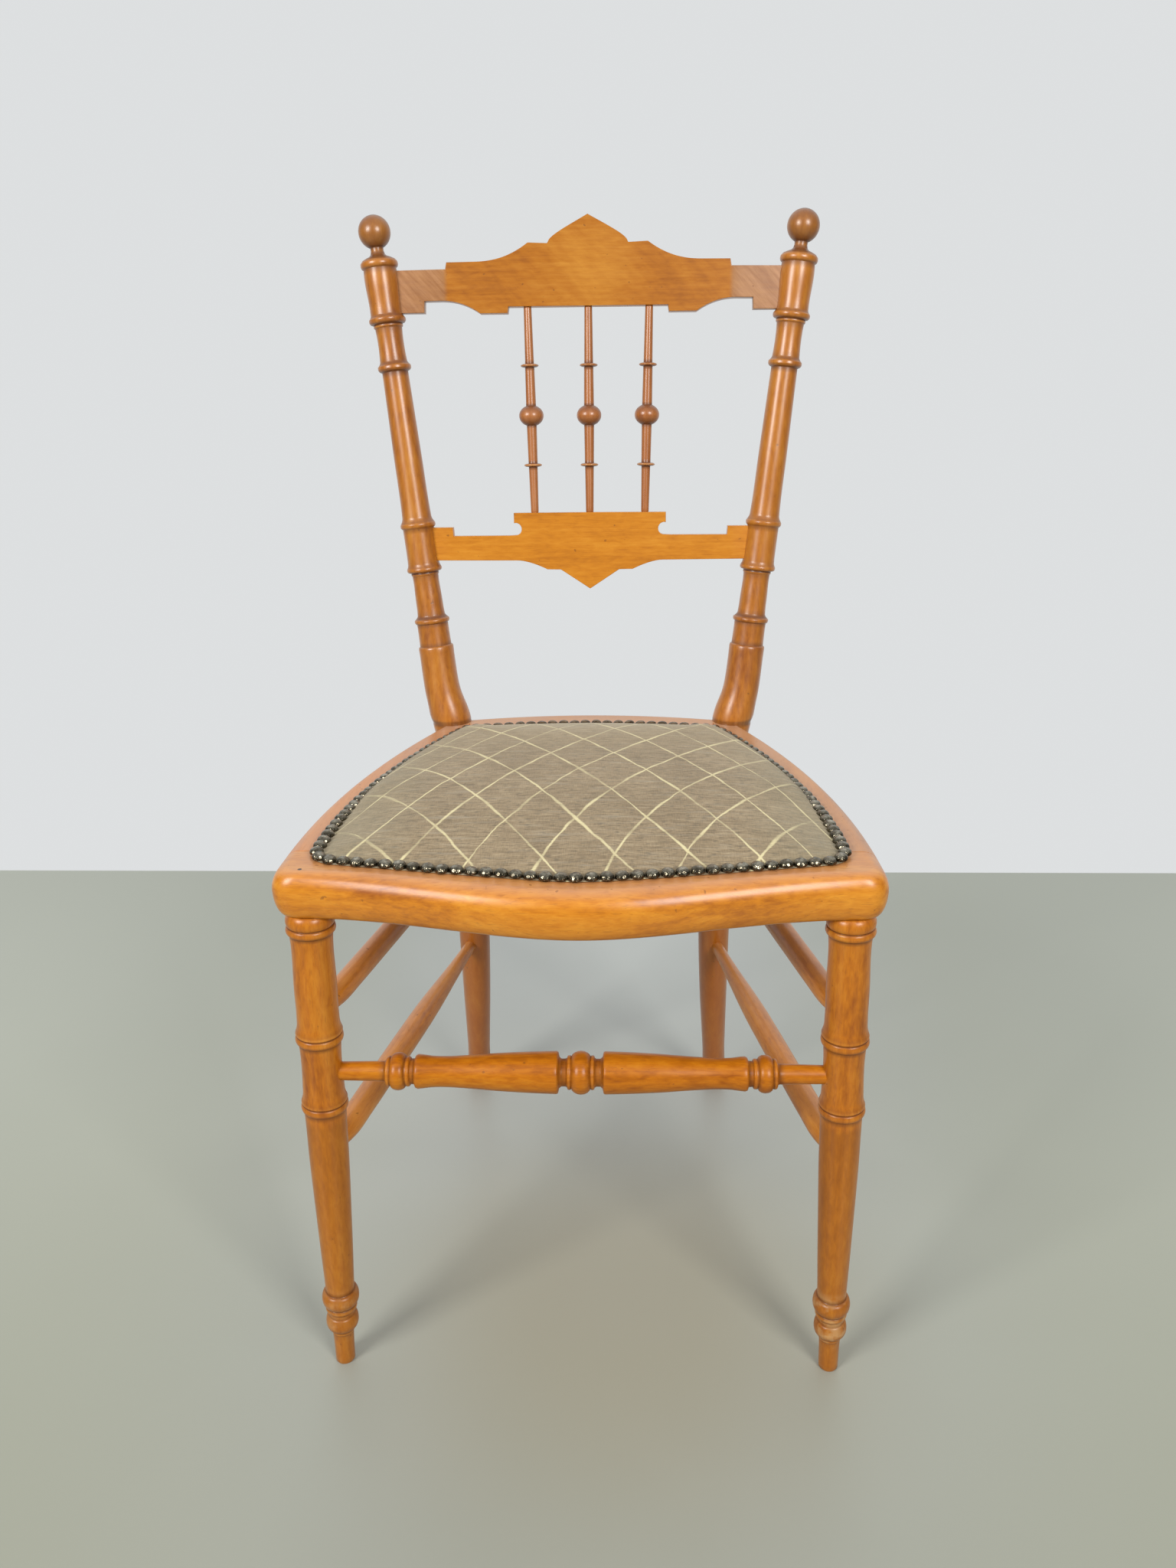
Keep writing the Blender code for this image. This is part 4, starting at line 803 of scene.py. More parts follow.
def back_y(x):
    return BACK_APEX - BACK_BOW * (x / 0.118) ** 2


def round_corner(first, second, third, steps):
    return [
        first * (1 - t) ** 2 + second * (2 * t * (1 - t)) + third * t**2
        for t in (k / steps for k in range(1, steps))
    ]


def slab(name, outer, inward, rest, rounding):
    """A board of the seat frame: the outer edge of its plan is rounded, the rest of it has upright walls."""
    def rounded(k):
        r = rounding(k / (len(outer) - 1))
        places = [(r, SEAT_TOP)]
        for j in range(1, 11):
            a = j / 10 * math.pi / 2
            places.append((r * (1 - math.sin(a)), SEAT_MID + (SEAT_TOP - SEAT_MID) * math.cos(a)))
        for j in range(1, 9):
            a = j / 8 * math.pi / 2
            places.append((EDGE_BOTTOM * (1 - math.cos(a)), SEAT_MID - (SEAT_MID - SEAT_BOTTOM) * math.sin(a)))
        return [Vector((*(outer[k] + inward[k] * inset), z)) for inset, z in places]

    bm = bmesh.new()
    rows = [[bm.verts.new(p) for p in rounded(k)] for k in range(len(outer))]
    tops, lows = [bm.verts.new((*p, SEAT_TOP)) for p in rest], [bm.verts.new((*p, SEAT_BOTTOM)) for p in rest]
    for a, b in zip(rows, rows[1:]):
        for k in range(len(a) - 1):
            bm.faces.new((a[k], a[k + 1], b[k + 1], b[k]))
    bm.faces.new([row[0] for row in rows] + tops)
    bm.faces.new(list(reversed([row[-1] for row in rows] + lows)))
    for k in range(len(rest) - 1):
        bm.faces.new((tops[k], lows[k], lows[k + 1], tops[k + 1]))
    bm.faces.new(list(reversed(rows[-1])) + [tops[0], lows[0]][:: 1])
    bm.faces.new(rows[0] + [lows[-1], tops[-1]])
    bmesh.ops.recalc_face_normals(bm, faces=bm.faces)
    sharp = [e for e in bm.edges if len(e.link_faces) == 2 and e.calc_face_angle() > math.radians(60)]
    bmesh.ops.bevel(bm, geom=sharp, offset=0.0005, offset_type="OFFSET", segments=2, profile=0.5, affect="EDGES", clamp_overlap=True)
    bmesh.ops.recalc_face_normals(bm, faces=bm.faces)
    return mesh_from(bm, name)


def front_outline():
    count = 36
    reach = SIDE_WIDEST - CORNER_R
    half = [Vector((reach * k / count, front_y(reach * k / count))) for k in range(count + 1)]
    corner = Vector((SIDE_WIDEST, front_y(SIDE_WIDEST)))
    below = Vector((side_x(corner.y + CORNER_R), corner.y + CORNER_R))
    half += round_corner(half[-1], corner, below, 14) + [below]
    for k in range(1, 5):
        y = below.y + (FRONT_JOINT - below.y) * k / 4
        half.append(Vector((side_x(y), y)))
    return [Vector((-p.x, p.y)) for p in reversed(half[1:])] + half


FRONT_SPOTS = (
    ((-0.1962, -0.1926, 0.4500), 0.0015), ((-0.1925, -0.2120, 0.4478), 0.0017), ((-0.2035, -0.2200, 0.4400), 0.0016),
    ((0.2012, -0.2200, 0.4455), 0.0017), ((0.1960, -0.2325, 0.4425), 0.0016),
)
inner_half = side_x(FRONT_JOINT) - SIDE_RAIL_W
outline = front_outline()
inward = []
for point in outline:
    share = max(-1.0, min(1.0, point.x / (SIDE_WIDEST - CORNER_R)))
    inward.append((Vector((inner_half * share, FRONT_JOINT)) - point).normalized())
rest = [Vector((inner_half, FRONT_JOINT)), Vector((-inner_half, FRONT_JOINT))]
mesh = slab("rail_front", outline, inward, rest, lambda t: EDGE_TOP)
piece("rail_seat_front", mesh, wood("fruitwood_rail_front", "X", 61, (1.03, 1.01, 0.9), spots=FRONT_SPOTS, dust_and_sheen=0.50, fleck=0.26, mottle=0.60, gloss=(0.30, 0.42, 0.25)), "seat_front_rail", weigh=True)

for side in (LEFT, RIGHT):
    count = 40
    ys = [FRONT_JOINT + GAP + (REAR_JOINT - FRONT_JOINT - GAP) * k / count for k in range(count + 1)]
    outer = [Vector((side * side_x(y), y)) for y in ys]
    inward = [Vector((-side, 0.0)) for _ in ys]
    house = BACK_RAIL_HALF + GAP / 2
    rest = [Vector((side * house, REAR_JOINT)), Vector((side * house, BACK_RAIL_IN - GAP))]
    inner = [y for y in reversed(ys) if y < BACK_RAIL_IN - 0.004]
    rest += [Vector((side * (side_x(y) - SIDE_RAIL_W), y)) for y in [BACK_RAIL_IN - GAP] + inner]
    mesh = slab("rail_" + NAMES[side], outer, inward, rest, lambda t: EDGE_TOP + (EDGE_TOP_REAR - EDGE_TOP) * t)
    piece("rail_seat_" + NAMES[side], mesh, wood("fruitwood_rail_" + NAMES[side], "Y", 65 + side, (1.12, 1.02, 1.4) if side == LEFT else (0.95, 1.00, 1.5), dust_and_sheen=0.62), "seat_" + NAMES[side] + "_rail", weigh=True)

count = 48
xs = [0.127 - 0.254 * k / count for k in range(count + 1)]
outer = [Vector((x, back_y(x))) for x in xs]
house = BACK_RAIL_HALF - GAP / 2
rest = [Vector(p) for p in ((-0.127, REAR_JOINT + GAP), (-house, REAR_JOINT + GAP), (-house, BACK_RAIL_IN), (house, BACK_RAIL_IN), (house, REAR_JOINT + GAP), (0.127, REAR_JOINT + GAP))]
mesh = slab("rail_back", outer, [Vector((0.0, -1.0))] * len(xs), rest, lambda t: EDGE_TOP)
piece("rail_seat_back", mesh, wood("fruitwood_rail_back", "X", 68, (0.95, 0.97, 1.4), dust_and_sheen=0.55), "seat_back_rail", weigh=True)


# --------------------------------------------------------------- back boards
def back_point(x, z, out=0.0):
    return Vector((x, BACK_Y0 + BACK_LEAN * (z - BACK_Z0) - out * math.cos(LEAN), z + out * math.sin(LEAN)))


def back_matrix(z):
    return Matrix.Translation(back_point(0, z)) @ Matrix.Rotation(math.pi / 2 - LEAN, 4, "X")


def post_x(z):
    return POST_X0 + POST_SPREAD * (z - BACK_Z0)


def sweep(x0, z0, x1, z1, power, count=16):
    return [(x0 + (x1 - x0) * k / count, z0 + (z1 - z0) * (k / count) ** power) for k in range(count + 1)]


def crest_half():
    end_top, end_low = 858.8, 822.9
    peak = []
    for k in range(25):
        t = k / 24
        rise = t + 0.125 * math.sin(math.pi * t**0.45)
        peak.append((36.0 * (1 - t), 879.3 + (902.6 - 879.3) * rise))
    out = list(reversed(peak))
    out += [(53.0, 880.0)]
    out += list(reversed(sweep(104.0, 864.9, 53.6, 879.9, 2.4)))
    out += [(126.4, 864.7), (127.6, 859.0)]
    out += [(post_x(end_top * MM) / MM - 14.4 + BOARD_INTO_POST / MM, end_top)]
    out += [(post_x(end_low * MM) / MM - 14.2 + BOARD_INTO_POST / MM, end_low)]
    out += [(147.6, end_low), (147.2, 832.6)]
    out += sweep(133.0, 832.8, 97.2, 821.8, 2.2)
    out += [(72.4, 821.8), (71.6, 827.2), (0.0, 827.2)]
    return out


def lower_half():
    end_top, end_low = 634.6, 604.3
    cx, cz, r = 69.7, 632.7, 5.6
    out = [(0.0, 647.7), (71.2, 647.5), (71.2, 638.1)]
    out += [(cx + r * math.cos(a), cz + r * math.sin(a)) for a in (math.radians(90 + 10 * k) for k in range(0, 19))]
    out += [(76.0, 626.8), (128.4, 626.7), (129.0, end_top)]
    out += [(post_x(end_top * MM) / MM - 14.5 + BOARD_INTO_POST / MM, end_top)]
    out += [(post_x(end_low * MM) / MM - 14.5 + BOARD_INTO_POST / MM, end_low)]
    out += sweep(68.0, 603.8, 40.2, 595.4, 1.6)
    out += [(27.6, 595.2), (0.0, 577.3)]
    return out


def board(name, half, thick, mid_z, ease_from):
    """A fret-sawn board with broken edges. Its front face falls away a little towards the posts."""
    right = [Vector((x * MM, (z * MM - mid_z) * LEAN_STRETCH)) for x, z in half]
    left = [Vector((-p.x, p.y)) for p in reversed(right) if p.x > 1e-6]
    points = right + left
    bm = bmesh.new()
    front = [bm.verts.new((p.x, p.y, thick / 2)) for p in points]
    rear = [bm.verts.new((p.x, p.y, -thick / 2)) for p in points]
    faces = [bm.faces.new(front), bm.faces.new(list(reversed(rear)))]
    for k in range(len(points)):
        j = (k + 1) % len(points)
        bm.faces.new((front[j], front[k], rear[k], rear[j]))
    bmesh.ops.recalc_face_normals(bm, faces=bm.faces)
    rim = [e for face in faces for e in face.edges]
    bmesh.ops.bevel(bm, geom=rim, offset=0.0007, offset_type="OFFSET", segments=2, profile=0.6, affect="EDGES", clamp_overlap=True)
    for side in (LEFT, RIGHT):
        for x in (ease_from, ease_from + 0.0035, ease_from + 0.0070):
            geometry = list(bm.verts) + list(bm.edges) + list(bm.faces)
            bmesh.ops.bisect_plane(bm, geom=geometry, dist=1e-6, plane_co=(side * x, 0, 0), plane_no=(1, 0, 0))
    for v in bm.verts:
        past = abs(v.co.x) - ease_from
        if past > 0 and v.co.z > 0:
            v.co.z -= 0.055 * (past * past / (past + 0.003))
    bmesh.ops.remove_doubles(bm, verts=bm.verts, dist=0.000002)
    bmesh.ops.recalc_face_normals(bm, faces=bm.faces)
    return mesh_from(bm, name)


CREST_CLOUDS = (((0.0, 0.012, 0.0055), 0.070, 0.20), ((-0.088, 0.0, 0.0055), 0.045, -0.05), ((0.105, -0.004, 0.0055), 0.030, -0.06))
mesh = board("crest", crest_half(), CREST_T, CREST_MID, 0.1283)
# the crest is tinted darker than the other wood: painted shade for the weaker light on the back
piece("board_crest", mesh, wood("fruitwood_crest", "X", 71, (0.79, 0.76, 0.85), figure=0.55, fleck=0.10, clouds=CREST_CLOUDS, ends=0.1275, slant=0.75, calm=0.45), "crest_rail", back_matrix(CREST_MID), weigh=True)
mesh = board("lower", lower_half(), LOWER_T, LOWER_MID, 0.1305)
piece("board_lower", mesh, wood("fruitwood_lower", "X", 73, (1.05, 1.08, 1.1), figure=0.16, fleck=0.07, calm=0.35), "lower_back_rail", back_matrix(LOWER_MID), weigh=True)

for name, side in (("left", LEFT), ("centre", 0), ("right", RIGHT)):
    low_z, high_z = 0.6476, 0.8272
    slope = (SPINDLE_TOP_X - SPINDLE_BOTTOM_X) / (high_z - low_z)
    into = SPINDLE_INTO - GAP
    start = back_point(side * (SPINDLE_BOTTOM_X - slope * into), low_z - into)
    end = back_point(side * (SPINDLE_TOP_X + slope * into), high_z + into)
    mesh = turned("spindle_" + name, spindle_profile((end - start).length / MM), 40, straight, 3.0)
    piece("spindle_back_" + name, mesh, wood("fruitwood_spindle_" + name, "Z", 81 + side, (0.70, 0.66, 2.40), gloss=(0.50, 0.55, 0.25)), "back_spindle_" + name, aim(start, end))


# ---------------------------------------------------------------- upholstery
def nail_side_x(y):
    return NAIL_WIDEST - NAIL_CURVE * max(0.0, y - NAIL_FROM) ** 2


def nail_front_y(x):
    return NAIL_APEX + NAIL_SLOPE * x * x / (abs(x) + NAIL_SOFT)


def nail_back_y(x):
    return NAIL_BACK - NAIL_BACK_BOW * (x / NAIL_BACK_REF) ** 2


def nail_runs():
    """The four runs of the nail line, counter-clockwise from the front left corner, in fine steps."""
    half = [Vector((0.174 * k / 40, nail_front_y(0.174 * k / 40))) for k in range(41)]
    corner = Vector((NAIL_WIDEST, nail_front_y(NAIL_WIDEST)))
    below = Vector((nail_side_x(corner.y + 0.016), corner.y + 0.016))
    arc = round_corner(half[-1], corner, below, 12)
    front = half + arc[:6]
    side = arc[5:] + [below]
    top = 0.1180
    for k in range(1, 41):
        y = below.y + (top - below.y) * k / 40
        side.append(Vector((nail_side_x(y), y)))
    rear = Vector((nail_side_x(0.137), 0.137))
    turn = round_corner(side[-1], rear, Vector((0.100, nail_back_y(0.100))), 12)
    side += turn[:5]
    back = turn[4:] + [Vector((0.100 - 0.1 * k / 24, nail_back_y(0.100 - 0.1 * k / 24))) for k in range(25)]
    mirror = lambda run: [Vector((-p.x, p.y)) for p in reversed(run)]
    return mirror(front[1:]) + front, side, back + mirror(back[:-1]), mirror(side)


def walk(points, count):
    """Points at equal steps along a line, both ends included."""
    lengths = [0.0]
    for a, b in zip(points, points[1:]):
        lengths.append(lengths[-1] + (b - a).length)
    out, k = [], 0
    for j in range(count + 1):
        want = lengths[-1] * j / count
        while k < len(points) - 2 and lengths[k + 1] < want:
            k += 1
        share = (want - lengths[k]) / max(1e-9, lengths[k + 1] - lengths[k])
        out.append(points[k].lerp(points[k + 1], min(1.0, max(0.0, share))))
    return out


def offset_run(run, inset):
    out = []
    for k, point in enumerate(run):
        along = (run[min(k + 1, len(run) - 1)] - run[max(k - 1, 0)]).normalized()
        out.append(point + Vector((-along.y, along.x)) * inset)
    return out


def crown(point, depth):
    """Height of the pad at a distance from its edge: it stands up behind the nails of the sides, and later along the back."""
    t = min(1.0, max(0.0, (point.y + 0.160) / 0.120))
    t = t * t * (3 - 2 * t)
    beside = min(1.0, max(0.0, (abs(point.x) - 0.092) / 0.028))
    behind = min(1.0, max(0.0, (point.y - 0.060) / 0.045)) * (1 - beside)
    rise = CROWN_RISE + (CROWN_RISE_BACK - CROWN_RISE) * t + 0.0020 * behind
    start = 0.004 * t - 0.0065 * behind
    return CROWN * (1 + 0.12 * t) * (1 - math.exp(-max(0.0, depth + start) / rise))


runs = nail_runs()
COVER_Z = SEAT_TOP + GAP
LONG_Z = SEAT_TOP + LAYER_GAP
CROSS_Z = LONG_Z + STRAP_T + LAYER_GAP
HESSIAN_Z = CROSS_Z + STRAP_T + LAYER_GAP
PADDING_Z = HESSIAN_Z + HESSIAN_T + LAYER_GAP


def patch(runs, inset, across, deep):
    """Plan grid between four runs, moved inwards: rows from front to back, each from left to right."""
    front, right, back, left = (offset_run(run, inset) for run in runs)
    for a, b in ((front, right), (right, back), (back, left), (left, front)):
        meet = (a[-1] + b[0]) / 2
        a[-1], b[0] = meet, meet.copy()
    f, r = walk(front, across), walk(right, deep)
    b, l = walk(list(reversed(back)), across), walk(list(reversed(left)), deep)
    rows = []
    for j in range(deep + 1):
        v = j / deep
        row = []
        for i in range(across + 1):
            u = i / across
            row.append(
                f[i] * (1 - v) + b[i] * v + l[j] * (1 - u) + r[j] * u
                - (f[0] * ((1 - u) * (1 - v)) + f[-1] * (u * (1 - v)) + b[0] * ((1 - u) * v) + b[-1] * (u * v))
            )
        rows.append(row)
    return rows


def edge_depth(rows):
    """Distance of every point of a plan grid from the grid's own border."""
    border = rows[0] + [row[-1] for row in rows] + rows[-1][::-1] + [row[0] for row in rows[::-1]]
    return [[min((p - q).length for q in border) for p in row] for row in rows]


def quilt(name, rows, depth, top, low):
    """Closed form over a plan grid, between two height functions of the place and its distance from the edge."""
    bm = bmesh.new()
    layers = [[[bm.verts.new((*p, height(p, d))) for p, d in zip(row, deep)] for row, deep in zip(rows, depth)] for height in (top, low)]
    deep, wide = len(rows) - 1, len(rows[0]) - 1
    for layer, turn in zip(layers, (1, -1)):
        for j in range(deep):
            for i in range(wide):
                bm.faces.new((layer[j][i], layer[j][i + 1], layer[j + 1][i + 1], layer[j + 1][i])[::turn])
    rim = [(0, i) for i in range(wide)] + [(j, wide) for j in range(deep)] + [(deep, i) for i in range(wide, 0, -1)] + [(j, 0) for j in range(deep, 0, -1)]
    for (j0, i0), (j1, i1) in zip(rim, rim[1:] + rim[:1]):
        bm.faces.new((layers[1][j0][i0], layers[1][j1][i1], layers[0][j1][i1], layers[0][j0][i0]))
    return mesh_from(bm, name)


def swell(made, hold, pressure, cap):
    """Blows the cloth up a little with Blender's own simulation, and keeps the result in the mesh."""
    start = [v.co.copy() for v in made.data.vertices]
    group = made.vertex_groups.new(name="held")
    for index, weight in enumerate(hold):
        if weight > 0:
            group.add([index], weight, "REPLACE")
    mod = made.modifiers.new("cloth", "CLOTH")
    mod.settings.quality = 6
    mod.settings.mass = 0.25
    mod.settings.tension_stiffness = 12.0
    mod.settings.compression_stiffness = 12.0
    mod.settings.shear_stiffness = 6.0
    mod.settings.bending_stiffness = 0.4
    mod.settings.use_pressure = True
    mod.settings.uniform_pressure_force = pressure
    mod.settings.vertex_group_mass = "held"
    mod.settings.effector_weights.gravity = 0.0
    mod.collision_settings.use_collision = False
    mod.point_cache.frame_start, mod.point_cache.frame_end = 1, 20
    scene = bpy.context.scene
    for number in range(1, 21):
        scene.frame_set(number)
    result = made.evaluated_get(bpy.context.evaluated_depsgraph_get()).to_mesh()
    moved = [v.co.copy() for v in result.vertices]
    made.evaluated_get(bpy.context.evaluated_depsgraph_get()).to_mesh_clear()
    made.modifiers.remove(mod)
    made.vertex_groups.remove(group)
    scene.frame_set(1)
    most = 0.0
    for v, a, b in zip(made.data.vertices, start, moved):
        step = b - a
        most = max(most, step.length)
        if step.length > cap:
            step = step * (cap / step.length)
        v.co = a + step
    print(f"{made.name}: the cloth moved by up to {most * 1000:.1f} mm")


# the pad: cloth drawn down to the nails over a thin layer of stuffing
rows = patch(runs, -0.0030, 84, 72)
depth = edge_depth(rows)


def pad_low(p, d):
    return COVER_Z + (PADDING_Z + 0.0004 - COVER_Z) * min(1.0, max(0.0, (d - 0.0120) / 0.0060))


mesh = quilt("pad", rows, depth, lambda p, d: COVER_Z + COVER_T + crown(p, d - 0.006) * 0.82, pad_low)
pad = piece("seat_pad", mesh, cover_cloth(), ("seat_cover", "seat_padding"), sharp=60.0)
flat_depth = [d for row in depth for d in row]
hold = [1.0 - min(1.0, max(0.0, (d - 0.0075) / 0.010)) for d in flat_depth] + [1.0] * len(flat_depth)
swell(pad, hold, 4.0, 0.006)
fine = pad.modifiers.new("fine", "SUBSURF")
fine.levels = fine.render_levels = 1

# sacking under the stuffing
rows = patch(runs, INNER_INSET, 60, 52)
depth = edge_depth(rows)
mesh = quilt("hessian", rows, depth, lambda p, d: HESSIAN_Z + HESSIAN_T, lambda p, d: HESSIAN_Z)
hessian = piece("sacking", mesh, woven("jute_sacking", 0.0022, (0.165, 0.105, 0.050), (0.400, 0.285, 0.150), (0.560, 0.430, 0.255)), "seat_hessian", sharp=60.0)
xs, ys = [p.x for row in rows for p in row], [p.y for row in rows for p in row]


def strap(name, low, high, z, along, nodes, mat, phase):
    """Jute web: a thin band with thicker woven edges."""
    bm = bmesh.new()
    length, width = ((high.y - low.y), (high.x - low.x)) if along == "Y" else ((high.x - low.x), (high.y - low.y))
    count, across = max(24, int(length / 0.005)), 20
    layers = []
    for level in (1, 0):
        grid = []
        for j in range(count + 1):
            t = j / count
            row = []
            for i in range(across + 1):
                s = i / across
                edge = min(s, 1 - s) * width
                narrow = 0.0007 * (0.5 + 0.5 * math.sin(23.0 * t + phase)) * (1 if s > 0.5 else -1) * (abs(s - 0.5) * 2) ** 3
                thick = STRAP_T * (0.80 + 0.20 * math.exp(-((edge / 0.0022) ** 2)) + 0.06 * math.sin(math.pi * s * 16))
                height = z + (STRAP_T - thick) / 2 + (thick if level else 0.0)
                a, b = t * length, s * width - narrow
                row.append(bm.verts.new((low.x + b, low.y + a, height) if along == "Y" else (low.x + a, low.y + b, height)))
            grid.append(row)
        layers.append(grid)
    flip = 1 if along == "Y" else -1
    for grid, turn in zip(layers, (flip, -flip)):
        for j in range(count):
            for i in range(across):
                bm.faces.new((grid[j][i], grid[j][i + 1], grid[j + 1][i + 1], grid[j + 1][i])[::turn])
    rim = [(0, i) for i in range(across)] + [(j, across) for j in range(count)] + [(count, i) for i in range(across, 0, -1)] + [(j, 0) for j in range(count, 0, -1)]
    for (j0, i0), (j1, i1) in zip(rim, rim[1:] + rim[:1]):
        bm.faces.new((layers[1][j0][i0], layers[1][j1][i1], layers[0][j1][i1], layers[0][j0][i0])[::flip])
    made = piece(name, mesh_from(bm, name), mat, nodes, sharp=60.0)
    return made


JUTE_DARK, JUTE_MID, JUTE_LIGHT = (0.150, 0.090, 0.040), (0.360, 0.245, 0.120), (0.520, 0.390, 0.220)
web_long = woven("jute_web_long", 0.0030, JUTE_DARK, JUTE_MID, JUTE_LIGHT, "Y", True)
web_cross = woven("jute_web_cross", 0.0030, JUTE_DARK, JUTE_MID, JUTE_LIGHT, "X", True)
for k, (name, x) in enumerate((("left", -0.074), ("centre", 0.0), ("right", 0.074))):
    wide = abs(x) + STRAP_W / 2
    low = Vector((x - STRAP_W / 2, nail_front_y(wide) + STRAP_INSET + 0.004))
    high = Vector((x + STRAP_W / 2, nail_back_y(wide) - STRAP_INSET - 0.003))
    strap("web_long_" + name, low, high, LONG_Z, "Y", "webbing_long_" + name, web_long, k * 1.7)
for k, (name, y) in enumerate((("front", -0.118), ("middle", -0.036), ("back", 0.046))):
    wide = nail_side_x(y + STRAP_W / 2) - STRAP_INSET - 0.003
    strap("web_cross_" + name, Vector((-wide, y - STRAP_W / 2)), Vector((wide, y + STRAP_W / 2)), CROSS_Z, "X", "webbing_cross_" + name, web_cross, k * 2.3)

# domed nails, each one a closed head, along the whole line
rng = random.Random(5)
loop = [p for run in runs for p in run[:-1]]
total = sum((b - a).length for a, b in zip(loop, loop[1:] + loop[:1]))
number = round(total / NAIL_PITCH)
places = walk(loop + loop[:1], number)[:-1]
# the back row's metal is a darker, browner copy of the same metal: painted shade on the back nails
NAIL_MAT, NAIL_MAT_BACK = nail_metal("nail_metal_antique"), nail_metal("nail_metal_shaded_back", (0.66, 0.48, 0.34))
rows_of = {"front": [], "right": [], "back": [], "left": []}
marks = [sum((b - a).length for a, b in zip(run, run[1:])) for run in runs]
for k, point in enumerate(places):
    at = total * k / number
    for name, long in zip(("front", "right", "back", "left"), marks):
        if at < long or name == "left":
            rows_of[name].append(point)
            break
        at -= long
for name, points in rows_of.items():
    bm = bmesh.new()
    groove_layer, ridge_layer = bm.verts.layers.float.new("groove"), bm.verts.layers.float.new("ridge")
    for point in points:
        sunk = 1.0 if name == "back" else min(1.0, max(0.0, (point.y + 0.150) / 0.180))
        radius = NAIL_D / 2 * (1.0 - 0.09 * sunk) * rng.uniform(0.97, 1.0)
        tall = (NAIL_H_BACK if name == "back" else NAIL_H * (1.0 - 0.28 * sunk)) * rng.uniform(0.92, 1.03)
        centre = Vector((point.x + rng.uniform(-1, 1) * 0.0002, point.y + rng.uniform(-1, 1) * 0.0002, COVER_Z + COVER_T + 0.0001))
        lean = Matrix.Rotation(rng.uniform(-0.09, 0.09), 3, "X") @ Matrix.Rotation(rng.uniform(-0.09, 0.09), 3, "Y")
        sides, rings = 20, []
        shape = ((0.90, 0.0), (0.985, 0.10), (1.0, 0.19)) + tuple((math.cos(a), 0.22 + 0.78 * math.sin(a)) for a in (math.radians(13 * j) for j in range(1, 7)))
        for share, rise in shape:
            row = []
            for j in range(sides):
                a = math.tau * j / sides
                offset = lean @ Vector((radius * share * math.cos(a), radius * share * math.sin(a), tall * rise))
                v = bm.verts.new(centre + offset)
                v[groove_layer], v[ridge_layer] = max(0.0, 1.0 - rise / 0.22), max(0.0, (rise - 0.62) / 0.38)
                row.append(v)
            rings.append(row)
        top = bm.verts.new(centre + lean @ Vector((0, 0, tall * 1.0)))
        top[ridge_layer] = 1.0
        low = bm.verts.new(centre)
        for a, b in zip(rings, rings[1:]):
            for j in range(sides):
                n = (j + 1) % sides
                bm.faces.new((a[j], a[n], b[n], b[j]))
        for j in range(sides):
            n = (j + 1) % sides
            bm.faces.new((rings[-1][j], rings[-1][n], top))
            bm.faces.new((rings[0][n], rings[0][j], low))
    piece("nails_" + name, mesh_from(bm, "nails_" + name), NAIL_MAT_BACK if name == "back" else NAIL_MAT, "nail_row_" + name, sharp=40.0)


# --------------------------------------------------------- camera and stage
yaw, pitch, roll, focal = -0.0346442, 0.3552893, -0.0120921, 1545.421
ahead = Vector((math.sin(yaw) * math.cos(pitch), math.cos(yaw) * math.cos(pitch), -math.sin(pitch)))
right = Vector((math.cos(yaw), -math.sin(yaw), 0.0))
up = right.cross(ahead)
r, u = right * math.cos(roll) + up * math.sin(roll), -right * math.sin(roll) + up * math.cos(roll)
lens = bpy.data.cameras.new("camera")
lens.sensor_width = 36.0
lens.lens = focal / 2048 * 36.0
lens.clip_start = 0.01
camera = bpy.data.objects.new("camera", lens)
bpy.context.scene.collection.objects.link(camera)
camera.matrix_world = Matrix((
    (r.x, u.x, -ahead.x, 0.0343525),
    (r.y, u.y, -ahead.y, -0.9481030 + CHAIR_Y),
    (r.z, u.z, -ahead.z, 0.7946752),
    (0.0, 0.0, 0.0, 1.0),
))
bpy.context.scene.camera = camera

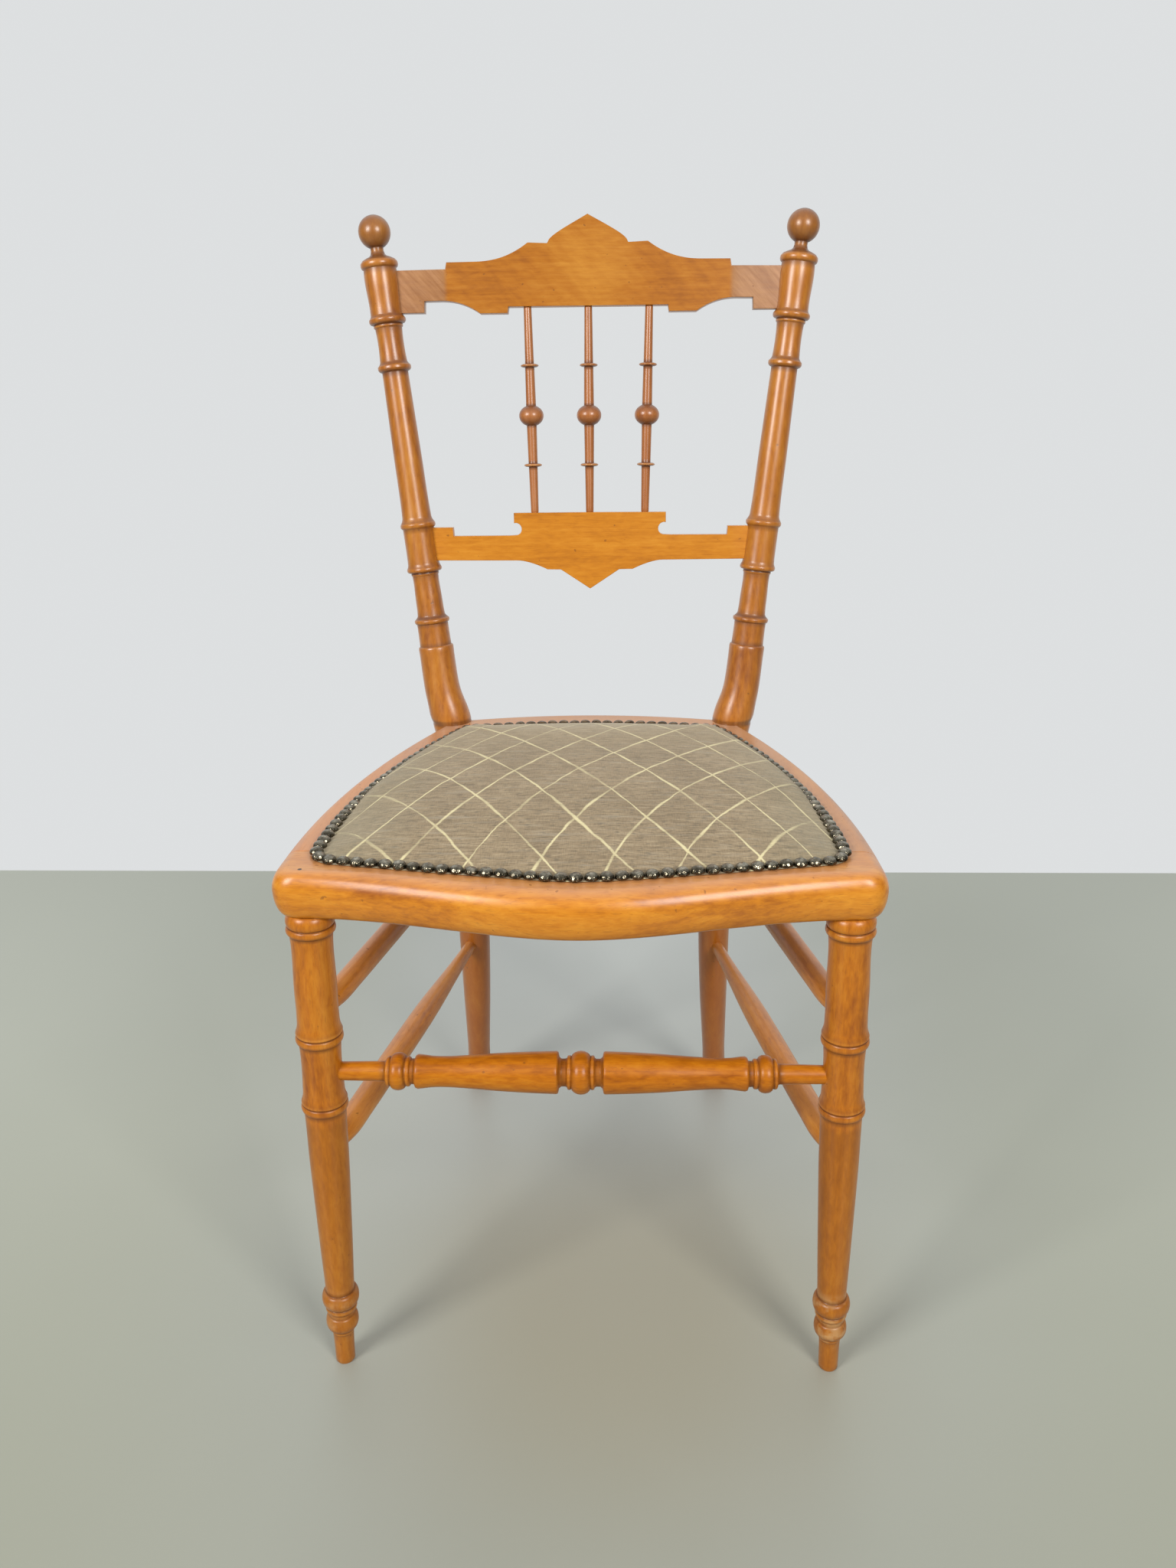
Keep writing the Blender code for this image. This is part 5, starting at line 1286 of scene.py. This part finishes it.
bm = bmesh.new()
corners = [bm.verts.new(p) for p in ((-5.0, -5.0, 0.0), (5.0, -5.0, 0.0), (5.0, 0.795, 0.0), (-5.0, 0.795, 0.0))]
bm.faces.new(corners)
floor = bpy.data.objects.new("floor", mesh_from(bm, "floor"))
bpy.context.scene.collection.objects.link(floor)
floor.data.materials.append(floor_paint())


def lamp(name, place, aim_at, wide, tall, watts, colour):
    data = bpy.data.lights.new(name, "AREA")
    data.shape, data.size, data.size_y = "RECTANGLE", wide, tall
    data.energy, data.color = watts, colour
    made = bpy.data.objects.new(name, data)
    bpy.context.scene.collection.objects.link(made)
    made.location = place
    made.rotation_euler = (Vector(aim_at) - Vector(place)).to_track_quat("-Z", "Y").to_euler()
    return made


lamp("window_left", (-1.75, -1.85, 1.75), (0.0, 0.0, 0.42), 0.9, 1.1, 58.0, (1.0, 0.985, 0.96))
lamp("window_right", (1.25, -2.00, 1.70), (0.0, 0.0, 0.42), 0.8, 1.0, 46.0, (1.0, 0.985, 0.96))

world = bpy.data.worlds.new("studio")
world.use_nodes = True
# a pale wall behind the chair, a soft ceiling, and a dimmer room at the sides and behind the viewer
nodes, links = world.node_tree.nodes, world.node_tree.links
facing = nodes.new("ShaderNodeSeparateXYZ")
links.new(nodes.new("ShaderNodeTexCoord").outputs["Generated"], facing.inputs[0])
level = nodes.new("ShaderNodeMapRange")
level.interpolation_type = "SMOOTHSTEP"
links.new(facing.outputs["Y"], level.inputs["Value"])
for socket, number in zip(level.inputs[1:5], (-0.10, 0.80, 0.12, 0.76)):
    socket.default_value = number
above = nodes.new("ShaderNodeMapRange")
above.interpolation_type = "SMOOTHSTEP"
links.new(facing.outputs["Z"], above.inputs["Value"])
for socket, number in zip(above.inputs[1:5], (0.25, 0.95, 0.0, 0.55)):
    socket.default_value = number
both = nodes.new("ShaderNodeMath")
both.operation = "ADD"
links.new(level.outputs[0], both.inputs[0])
links.new(above.outputs[0], both.inputs[1])
back = nodes["Background"]
back.inputs["Color"].default_value = (0.955, 0.975, 0.985, 1.0)
links.new(both.outputs[0], back.inputs["Strength"])
bpy.context.scene.world = world
bpy.context.scene.view_settings.view_transform = "Standard"
